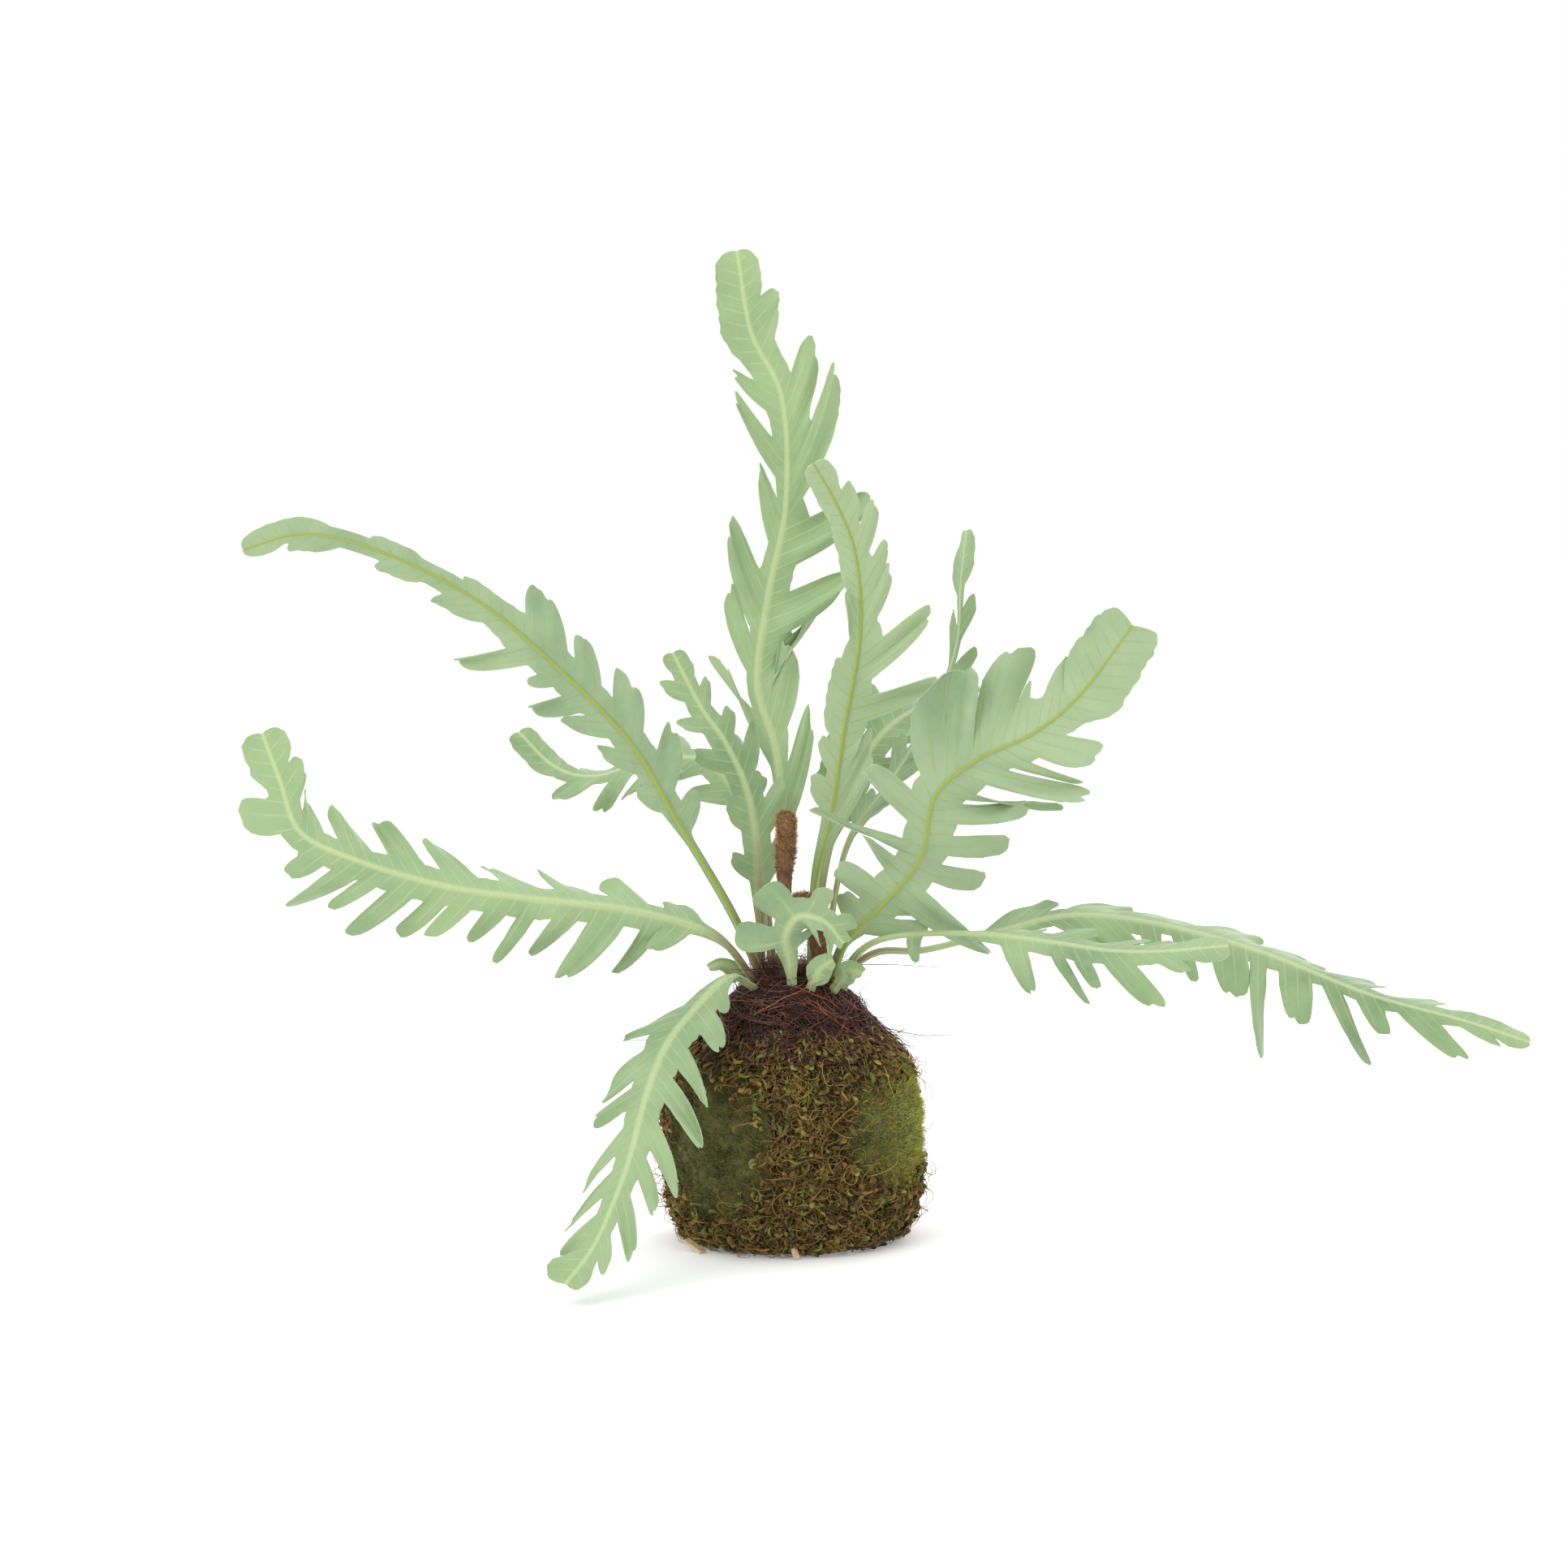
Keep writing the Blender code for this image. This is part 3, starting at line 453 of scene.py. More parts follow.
# %% The ball's round shape
def wrap_radius(height):
    """Outer radius of the moss wrap at a height above the floor, in millimetres."""
    return np.interp(height, [0, 3, 10, 21, 40, 64, 77, 88, 96, 104],
                     [44, 48, 51.5, 55, 57, 57, 54, 50, 44, 36])


def settle(points):
    """Press round points into the uneven roundness of a hand-made ball."""
    angle = np.arctan2(points[..., 1], points[..., 0])
    lump = 0.022 * np.sin(2 * angle + 0.8) + 0.016 * np.sin(3 * angle + 0.03 * points[..., 2])
    return points * np.stack([1 + lump, 1 + lump, np.ones_like(lump)], axis=-1)


def on_ball(angle, height, stand):
    """Points that stand off the moss ball by some millimetres."""
    radius = wrap_radius(height) + stand
    return settle(np.stack([radius * np.cos(angle), radius * np.sin(angle), height + 0 * angle], axis=-1))


def turned_body(name, profile, material, depth, size):
    """A sphere whose rows are moved onto a profile of (radius, height), then made uneven."""
    bpy.ops.object.select_all(action="DESELECT")
    bpy.ops.mesh.primitive_uv_sphere_add(segments=96, ring_count=72, radius=1)
    body = bpy.context.active_object
    body.name = name
    body.data.name = name
    points = np.empty(len(body.data.vertices) * 3)
    body.data.vertices.foreach_get("co", points)
    points = points.reshape(-1, 3)
    row = np.arccos(np.clip(-points[:, 2], -1, 1)) / math.pi
    profile = np.array(profile, float)
    lengths = np.concatenate([[0], np.cumsum(np.linalg.norm(np.diff(profile, axis=0), axis=1))])
    radius = np.interp(row * lengths[-1], lengths, profile[:, 0])
    height = np.interp(row * lengths[-1], lengths, profile[:, 1])
    angle = np.arctan2(points[:, 1], points[:, 0])
    shaped = np.stack([radius * np.cos(angle), radius * np.sin(angle), height], axis=1)
    body.data.vertices.foreach_set("co", (settle(shaped) * MM).ravel())
    clouds = bpy.data.textures.new(name + "_clouds", "CLOUDS")
    clouds.noise_scale = size * MM
    clouds.noise_depth = 3
    push = body.modifiers.new("uneven", "DISPLACE")
    push.texture = clouds
    push.texture_coords = "LOCAL"
    push.strength = depth * MM
    push.mid_level = 0.6
    bpy.ops.object.modifier_apply(modifier="uneven")
    bpy.ops.object.shade_smooth()
    for vertex in body.data.vertices:
        vertex.co.z = max(vertex.co.z, 0.0)
    body.data.materials.append(material)
    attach(body, "root")
    return body


moss_body = turned_body(
    "moss_body",
    [(0, 0), (44, 0), (48, 3), (51.5, 10), (55, 21), (57, 40), (57, 64), (54, 77), (50, 88), (44, 96), (0, 97)],
    moss_ground, 3.0, 9)
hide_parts("moss_wrap")
print("moss body:", len(moss_body.data.polygons), "faces")

# %% [markdown]
# ## Pads of cushion moss
#
# Cushion moss grows as a dense velvet of upright shoots. A pad is a curved sheet with a rounded
# outline and a wall, and thousands of short hairs stand on it. The hairs lean in clumps, because a
# real pad is made of small tufts, and their tone changes softly over the pad.


# %% Pads
def grid_sheet(name, rows):
    """A grid primitive whose points are moved onto rows of points in millimetres."""
    row_count, column_count = rows.shape[:2]
    bpy.ops.object.select_all(action="DESELECT")
    bpy.ops.mesh.primitive_grid_add(x_subdivisions=column_count - 1, y_subdivisions=row_count - 1, size=1)
    sheet = bpy.context.active_object
    sheet.name = name
    sheet.data.name = name
    sheet.data.vertices.foreach_set("co", (rows * MM).ravel())
    for layer in list(sheet.data.uv_layers):
        sheet.data.uv_layers.remove(layer)
    return sheet


def give_wall(sheet, thickness, offset, second_material=False):
    """Give a sheet its thickness in millimetres, a number or one for each point."""
    thickness = np.broadcast_to(np.asarray(thickness, float), (len(sheet.data.vertices),))
    group = sheet.vertex_groups.new(name="thickness")
    thickest = thickness.max()
    for index, value in enumerate(thickness):
        group.add([index], value / thickest, "REPLACE")
    wall = sheet.modifiers.new("wall", "SOLIDIFY")
    wall.thickness = thickest * MM
    wall.vertex_group = "thickness"
    wall.offset = offset
    wall.material_offset = 1 if second_material else 0
    bpy.ops.object.modifier_apply(modifier="wall")
    sheet.vertex_groups.clear()


def pad_point(pad, up, across):
    """Angle, height and roundness at a place on a pad, from 0 to 1 up and -1 to 1 across."""
    middle, spread, low, high = pad
    roundness = np.sqrt(np.maximum(0.0, 1 - np.abs(2 * up - 1) ** 2.5))
    angle = np.radians(middle + spread * across * np.maximum(roundness, 0.25))
    return angle, low + (high - low) * up, roundness * np.sqrt(np.maximum(0, 1 - across ** 4))


def add_pad(name, node, pad, thickness, hair_count, hair_length, material, light, seed):
    """A pad of cushion moss: its body and its hairs."""
    rows_up = 0.5 - 0.5 * np.cos(np.linspace(0, math.pi, 40))
    up, across = np.meshgrid(rows_up, np.linspace(-1, 1, 60), indexing="ij")
    angle, height, rise = pad_point(pad, up, across)
    rows = on_ball(angle, height, 1.0)
    rows = rows + unit(rows * [1, 1, 0]) * (0.7 * soft_noise(rows, seed, 16) * rise)[..., None]
    body = grid_sheet(name + "_body", rows)
    body.data.materials.append(pad_ground)
    give_wall(body, (0.8 + (thickness - 0.8) * rise).ravel(), 1.0)
    bpy.ops.object.shade_smooth()
    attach(body, "root")
    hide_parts(node)

    dice = np.random.default_rng(seed)
    up = 0.5 - 0.5 * np.cos(dice.uniform(0.02, 0.98, hair_count) * math.pi)
    across = dice.uniform(-1, 1, hair_count)
    angle, height, rise = pad_point(pad, up, across)
    start = on_ball(angle, height, 0.6 + (thickness - 0.8) * rise)
    outward = unit(start - [0, 0, 55])
    clump = np.stack([soft_noise(start, seed + step, 7) for step in (1, 2, 3)], axis=-1)
    lean = 0.55 * clump + dice.normal(0, 0.35, start.shape) + [0, 0, 0.35]
    heading = unit(outward + lean)
    length = hair_length * dice.uniform(0.6, 1.25, hair_count) * (0.65 + 0.35 * rise)
    steps = np.linspace(0, 1, 3)[None, :, None]
    bend = dice.normal(0, 0.25, start.shape)[:, None] * steps ** 2
    lines = start[:, None] + (heading[:, None] * steps + bend) * length[:, None, None]
    tones = light(start) + 0.16 * soft_noise(start, seed + 5, 22) + dice.normal(0, 0.2, hair_count)
    hairs = bend_copies(name, HAIR, lines, dice.uniform(0.16, 0.30, hair_count), tones, material, taper=0.3)
    return hairs


RIGHT_PAD = (-18, 46, 30, 88)
LEFT_PAD = (-133, 34, 12, 90)
BACK_PAD = (96, 44, 22, 84)
add_pad("cushion_right", "moss_cushion_right", RIGHT_PAD, 2.0, 13500, 3.6, bright_moss,
        lambda at: 0.36 + 0.30 * np.clip((at[:, 0] - 30) / 25, -1, 1) + 0.10 * (at[:, 2] - 60) / 30, 11)
add_pad("cushion_left", "moss_cushion_left", LEFT_PAD, 2.0, 12500, 3.4, dark_moss,
        lambda at: 0.45 + 0.12 * (at[:, 2] - 50) / 40, 23)
add_pad("cushion_back", "moss_cushion_back", BACK_PAD, 2.4, 12500, 3.8, bright_moss,
        lambda at: 0.45 + 0.10 * (at[:, 2] - 50) / 40, 37)

# %% [markdown]
# ## Sheet moss
#
# The rest of the ball is covered with sheet moss: curly shoots with tiny leaves that lie over each
# other in all directions, golden brown where dry and olive where still alive. Each shoot is a copy of
# the leafy strand that walks over the ball, turns as it goes and lifts a little off the surface.


# %% Shoots that walk over the ball
def pad_cover(angle, height):
    """Above 1 where a place on the ball lies under a pad of cushion moss."""
    most = np.zeros_like(angle)
    for middle, spread, low, high in (RIGHT_PAD, LEFT_PAD, BACK_PAD):
        turn = (np.degrees(angle) - middle + 180) % 360 - 180
        up = (height - 0.5 * (low + high)) / (0.5 * (high - low))
        most = np.maximum(most, 1.75 - np.sqrt((turn / spread) ** 2 + up ** 2))
    return most


def walk_over_ball(seed, count, samples, length, lift, low, high):
    """Curly lines over the ball, kept off the pads."""
    dice = np.random.default_rng(seed)
    angle = dice.uniform(-math.pi, math.pi, count * 4)
    height = dice.uniform(low, high, count * 4)
    kept = np.flatnonzero(pad_cover(angle, height) < 0.92 + dice.normal(0, 0.06, count * 4))[:count]
    angle = angle[kept]
    height = height[kept]
    count = len(kept)
    heading = dice.uniform(0, 2 * math.pi, count)
    turn = dice.normal(0, 0.6, count)
    step = length * dice.uniform(0.6, 1.3, count) / samples
    base = dice.uniform(-0.5, lift, count)
    rise = dice.uniform(0.2, 1.0, count) * lift
    runs = []
    for part in range(samples):
        stand = base + rise * np.sin(math.pi * part / (samples - 1))
        runs.append(on_ball(angle, np.clip(height, 0.6, 106), stand))
        heading = heading + turn + dice.normal(0, 0.28, count)
        angle = angle + step * np.cos(heading) / 55
        height = height + step * np.sin(heading)
    lines = np.stack(runs, axis=1)
    lines[..., 2] = np.maximum(lines[..., 2], 0.7)
    return lines, dice


def add_sheet_moss(name, seed, count, shape, material, tone, length, lift, low=2, high=103):
    """One layer of sheet moss."""
    lines, dice = walk_over_ball(seed, count, 8, length, lift, low, high)
    middles = lines[:, 4]
    tones = tone + 0.22 * soft_noise(middles, seed + 1, 20) + dice.normal(0, 0.20, len(lines))
    shoots = bend_copies(name, shape, lines, dice.uniform(0.16, 0.30, len(lines)), tones, material, taper=0.3)
    return shoots


add_sheet_moss("sheet_moss_low", 51, 3000, SPRIG, sheet_moss, 0.25, 9, 1.8)
add_sheet_moss("sheet_moss_high", 52, 3000, SPRIG, sheet_moss, 0.45, 8, 4.4)
add_sheet_moss("sheet_moss_green", 53, 2600, SPRIG, green_moss, 0.45, 8, 4.2)
add_sheet_moss("sheet_moss_curls", 54, 3200, WIRE, sheet_moss, 0.45, 17, 4.6)
add_sheet_moss("sheet_moss_loose", 55, 500, WIRE, sheet_moss, 0.55, 20, 8.0, 4, 90)

# %% [markdown]
# ## The collar of root fibre and the crown
#
# Between the moss and the stalks lies a cone of dark red-brown root fibre. It is made like the moss
# ball, and hundreds of thin wires are laid over it and round the crown. Some stand off at the sides.
# The croziers are tubes bent along a stem and a coil, with a fur of golden hairs.

# %% Collar
collar_profile = [(0, 94), (41, 94), (43.5, 96.3), (37, 103), (31, 110), (26, 116), (20, 120), (12, 122),
                  (0, 122.5)]
collar_body = turned_body("collar_body", collar_profile, fibre_ground, 2.5, 7)
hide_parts("fibre_collar")


def on_collar(angle, height, stand):
    """Points that stand off the collar and the crown by some millimetres."""
    radius = np.interp(height, [88, 96, 103, 110, 117, 123, 130], [51, 44, 37, 31, 26, 19, 13]) + stand
    return settle(np.stack([radius * np.cos(angle), radius * np.sin(angle), height + 0 * angle], axis=-1))


def add_fibres(name, seed, count, low, high, length, lift, stray, radius, tone):
    """Root fibres laid over the collar; stray ones lift off at one end."""
    dice = np.random.default_rng(seed)
    angle = dice.uniform(-math.pi, math.pi, count)
    height = dice.uniform(low, high, count)
    heading = dice.uniform(0, 2 * math.pi, count)
    turn = dice.normal(0, 0.16, count)
    step = length * dice.uniform(0.5, 1.3, count) / 9
    base = dice.uniform(-0.5, lift, count)
    off = stray * np.maximum(0, dice.normal(0, 1, count)) ** 2
    runs = []
    for part in range(10):
        runs.append(on_collar(angle, height, base + off * (part / 9) ** 2))
        heading = heading + turn + dice.normal(0, 0.16, count)
        angle = angle + step * np.cos(heading) / np.interp(height, [96, 123], [42, 18])
        height = np.clip(height + 0.75 * step * np.sin(heading), low - 5, high + 4)
    lines = np.stack(runs, axis=1)
    tones = tone + dice.normal(0, 0.28, count) + (dice.uniform(0, 1, count) > 0.97) * 0.6
    wires = bend_copies(name, WIRE, lines, radius * dice.uniform(0.6, 1.3, count), tones, root_fibre, taper=0.4)
    return wires


add_fibres("collar_fibres", 71, 2000, 97, 125, 36, 5.0, 1.6, 0.46, 0.38)
add_fibres("shoulder_fibres", 72, 260, 88, 100, 30, 5.0, 1.0, 0.38, 0.35)
add_fibres("nest_fibres", 74, 420, 116, 131, 26, 5.0, 3.0, 0.34, 0.25)
add_fibres("stray_fibres", 73, 420, 100, 129, 30, 4.0, 6.5, 0.36, 0.30)

# %% Hairs of the crown
CROWN_RADIUS = 19
CROWN_HAIRS = 900

dice = np.random.default_rng(81)
crown_angle = dice.uniform(-math.pi, math.pi, CROWN_HAIRS)
crown_radius = CROWN_RADIUS * np.sqrt(dice.uniform(0.05, 1, CROWN_HAIRS))
crown_x = crown_radius * np.cos(crown_angle)
crown_y = crown_radius * np.sin(crown_angle)
crown_start = np.stack([crown_x, crown_y, dice.uniform(119, 126, CROWN_HAIRS)], axis=1)
crown_rise = dice.uniform(0.1, 1.6, CROWN_HAIRS)
crown_way = np.stack([crown_x / CROWN_RADIUS, crown_y / CROWN_RADIUS, crown_rise], axis=1)
crown_way = unit(crown_way + dice.normal(0, 0.35, (CROWN_HAIRS, 3)))
crown_length = dice.uniform(5, 19, CROWN_HAIRS)
crown_steps = np.linspace(0, 1, 6)[None, :, None]
crown_bend = dice.normal(0, 0.3, (CROWN_HAIRS, 1, 3)) * crown_steps ** 2
crown_reach = (crown_way[:, None] * crown_steps + crown_bend) * crown_length[:, None, None]
crown_lines = crown_start[:, None] + crown_reach
crown_widths = dice.uniform(0.14, 0.30, CROWN_HAIRS)
crown_tones = 0.30 + dice.normal(0, 0.2, CROWN_HAIRS)
crown_hairs = bend_copies("crown_hairs", WIRE, crown_lines, crown_widths, crown_tones, root_fibre, taper=0.5)


# %% Croziers
CROZIER_SAMPLES = 90
COIL_POINTS = 13
FUR_HAIRS = 5000


def crozier_line(stem, centre, turns, across, reach):
    """A stem that ends in a coil."""
    places = [np.array(place, float) for place in stem]
    for part in np.linspace(0, 1, COIL_POINTS):
        angle = 2 * math.pi * turns * part
        radius = reach[0] + (reach[1] - reach[0]) * part
        places.append(np.array(centre) + radius * (math.cos(angle) * np.array(across)
                                                   + math.sin(angle) * np.array((0, 0, 1))))
    return curve_through(places, CROZIER_SAMPLES)


def add_crozier(name, line, widths, stalk_share, seed):
    """A furry young frond that hasn't opened."""
    last = CROZIER_SAMPLES - 1
    part = np.linspace(0, 1, CROZIER_SAMPLES)
    widths_here = np.interp(part, [0, stalk_share, stalk_share + 0.12, 0.97, 1], widths)
    points, triangles = STEM
    row = np.clip(points[:, 2], 0, 1)
    shape = points.copy()
    shape[:, :2] *= np.interp(row, part, widths_here)[:, None]
    body = bend_copies(name, (shape, triangles), line[None], [1.0], [0.3], stem_skin)
    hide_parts(name)
    dice = np.random.default_rng(seed)
    count = FUR_HAIRS
    spot = np.clip(dice.beta(1.6, 0.9, count) * 1.05, 0, 1) * last
    low = np.minimum(spot.astype(int), last - 1)
    share = (spot - low)[:, None]
    middle = line[low] * (1 - share) + line[low + 1] * share
    tangent = unit(line[low + 1] - line[low])
    out = dice.normal(size=(count, 3))
    out = unit(out - (out * tangent).sum(1)[:, None] * tangent)
    start = middle + out * (np.interp(spot / last, part, widths_here) - 0.1)[:, None]
    head = np.clip((spot / last - stalk_share) / 0.1, 0, 1)
    length = dice.uniform(0.7, 1.3, count) * (0.7 + 1.5 * head)
    way = unit(out + 0.5 * tangent + dice.normal(0, 0.5, (count, 3)))
    steps = np.linspace(0, 1, 3)[None, :, None]
    lines = start[:, None] + way[:, None] * steps * length[:, None, None]
    tones = 0.12 + 0.52 * head + dice.normal(0, 0.2, count)
    widths_of_hair = dice.uniform(0.10, 0.20, count)
    fur = bend_copies(name + "_fur", HAIR, lines, widths_of_hair, tones, golden_fuzz, taper=0.4)


tall_stem = [(-4, -11, 124), (-4, -11, 146), (-4, -11, 170), (-3, -10, 191)]
add_crozier("crozier_tall", crozier_line(tall_stem, (-3, -15.5, 199), 0.8, (0, 1, 0), (5.5, 4.6)),
            [3.9, 3.4, 4.4, 3.4, 2.0], 0.50, 91)
short_stem = [(12, -11.5, 124), (13, -15, 140), (12.5, -19.5, 152)]
add_crozier("crozier_short", crozier_line(short_stem, (5, -21.5, 159), 0.62, (1, 0, 0), (7.5, 6.6)),
            [3.9, 3.6, 4.4, 3.2, 1.6], 0.25, 92)

# %% New finishes for the nodes that are carried over
CARRIED_OVER = {"rhizome": stem_skin, "root_ball": fibre_ground,
                "bark_chip_left": split_bark, "bark_chip_front": split_bark}
for label, material in CARRIED_OVER.items():
    node = frame["nodes"][label]
    node.data.materials.clear()
    node.data.materials.append(material)
print("carried over:", list(CARRIED_OVER))

# %% [markdown]
# ## The finish of the fronds
#
# A frond of this fern is blue-green with a soft waxy bloom. The upper side has a pale cream band along
# the rib, the lower side a thick yellow-green rib, and side veins run out into every lobe. Light glows
# through the thin blade. The pattern must follow the blade, so each point carries its distance from
# the rib, its place along it and its share of the way to the edge.

# %% The vein group
veins, veins_in, veins_out = new_group(
    "veins",
    [("Band Width", "NodeSocketFloat", 2.5), ("Vein Spacing", "NodeSocketFloat", 7.0)],
    [("Band", "NodeSocketFloat"), ("Vein", "NodeSocketFloat"), ("Height", "NodeSocketFloat")])
from_rib = add_attribute(veins, "rib_mm")
up_rib = add_attribute(veins, "vein_mm")
to_edge = add_attribute(veins, "edge")
narrowing = add_math(veins, "MULTIPLY_ADD", add_attribute(veins, "along"), -0.65, 1.0)
band_width = add_math(veins, "MULTIPLY", veins_in.outputs["Band Width"], narrowing)
band_share = add_math(veins, "DIVIDE", from_rib, band_width)
band = add_math(veins, "SUBTRACT", 1.0, add_range(veins, band_share, 0.1, 1.5))
vein_place = add_math(veins, "DIVIDE", up_rib, veins_in.outputs["Vein Spacing"])
vein_wave = add_math(veins, "PINGPONG", vein_place, 0.5)
vein_line = add_math(veins, "SUBTRACT", 1.0, add_range(veins, vein_wave, 0.0, 0.13))
vein_fade = add_math(veins, "SUBTRACT", 1.0, add_range(veins, to_edge, 0.35, 0.95))
vein = add_math(veins, "MULTIPLY", vein_line, vein_fade)
veins.links.new(band, veins_out.inputs["Band"])
veins.links.new(vein, veins_out.inputs["Vein"])
veins.links.new(add_math(veins, "MAXIMUM", band, vein), veins_out.inputs["Height"])


# %% Leaf finishes
def leaf_finish(name, deep, pale, rib_colour, stalk_colour, band_width, band_strength):
    """The finish of one side of the fronds."""
    made, tree, shader = finish(name, 0.5, 0.15, (0.9, 1.0, 0.9))
    shader.inputs["Subsurface Weight"].default_value = 0.35
    shader.inputs["Subsurface Radius"].default_value = (1.0, 1.0, 0.6)
    shader.inputs["Subsurface Scale"].default_value = 1.5 * MM
    shader.inputs["Specular IOR Level"].default_value = 0.35
    spots = place_group(tree, mottle, Scale=38.0, Contrast=1.6, First=deep, Second=pale)
    fine = place_group(tree, mottle, Scale=420.0, Contrast=1.2)
    lines = place_group(tree, veins, Band_Width=band_width, Vein_Spacing=6.5)
    # The tone number mixes the blade towards pale, which on some fronds is painted light and painted shade.
    toned = add_mix(tree, add_attribute(tree, "tone"), spots.outputs["Color"], pale)
    grainy = add_mix(tree, add_math(tree, "MULTIPLY", fine.outputs["Mask"], 0.16), toned, deep)
    veined = add_mix(tree, add_math(tree, "MULTIPLY", lines.outputs["Vein"], 0.30), grainy, rib_colour)
    banded = add_mix(tree, add_math(tree, "MULTIPLY", lines.outputs["Band"], band_strength), veined, rib_colour)
    stalked = add_mix(tree, add_attribute(tree, "rosy"), banded, stalk_colour)
    tree.links.new(stalked, shader.inputs["Base Color"])
    rough = add_math(tree, "MULTIPLY_ADD", spots.outputs["Mask"], 0.14, 0.42)
    tree.links.new(rough, shader.inputs["Roughness"])
    relief = tree.nodes.new("ShaderNodeBump")
    relief.inputs["Strength"].default_value = 0.35
    relief.inputs["Distance"].default_value = 0.4 * MM
    height = add_math(tree, "MULTIPLY_ADD", fine.outputs["Mask"], 0.25, lines.outputs["Height"])
    tree.links.new(height, relief.inputs["Height"])
    tree.links.new(relief.outputs["Normal"], shader.inputs["Normal"])
    return made


STALK_RED = (0.20, 0.045, 0.035)
leaf_top = leaf_finish("leaf_top", (0.115, 0.205, 0.095), (0.33, 0.44, 0.23), (0.47, 0.55, 0.28),
                       STALK_RED, band_width=3.2, band_strength=0.70)
leaf_under = leaf_finish("leaf_under", (0.15, 0.245, 0.13), (0.36, 0.46, 0.27), (0.29, 0.35, 0.05),
                         STALK_RED, band_width=1.6, band_strength=0.95)
print("leaf finishes:", leaf_top.name, leaf_under.name)

# %% [markdown]
# ## The fronds
#
# A frond could be cut from a flat outline, but its lobes bend and twist each their own way. So every
# frond is a grid that is laid along its rib: each row of points leaves the rib in the direction of a
# vein, as far as the lobe reaches there. The rib is thicker than the blade, which gives the raised
# ridge on the lower side.

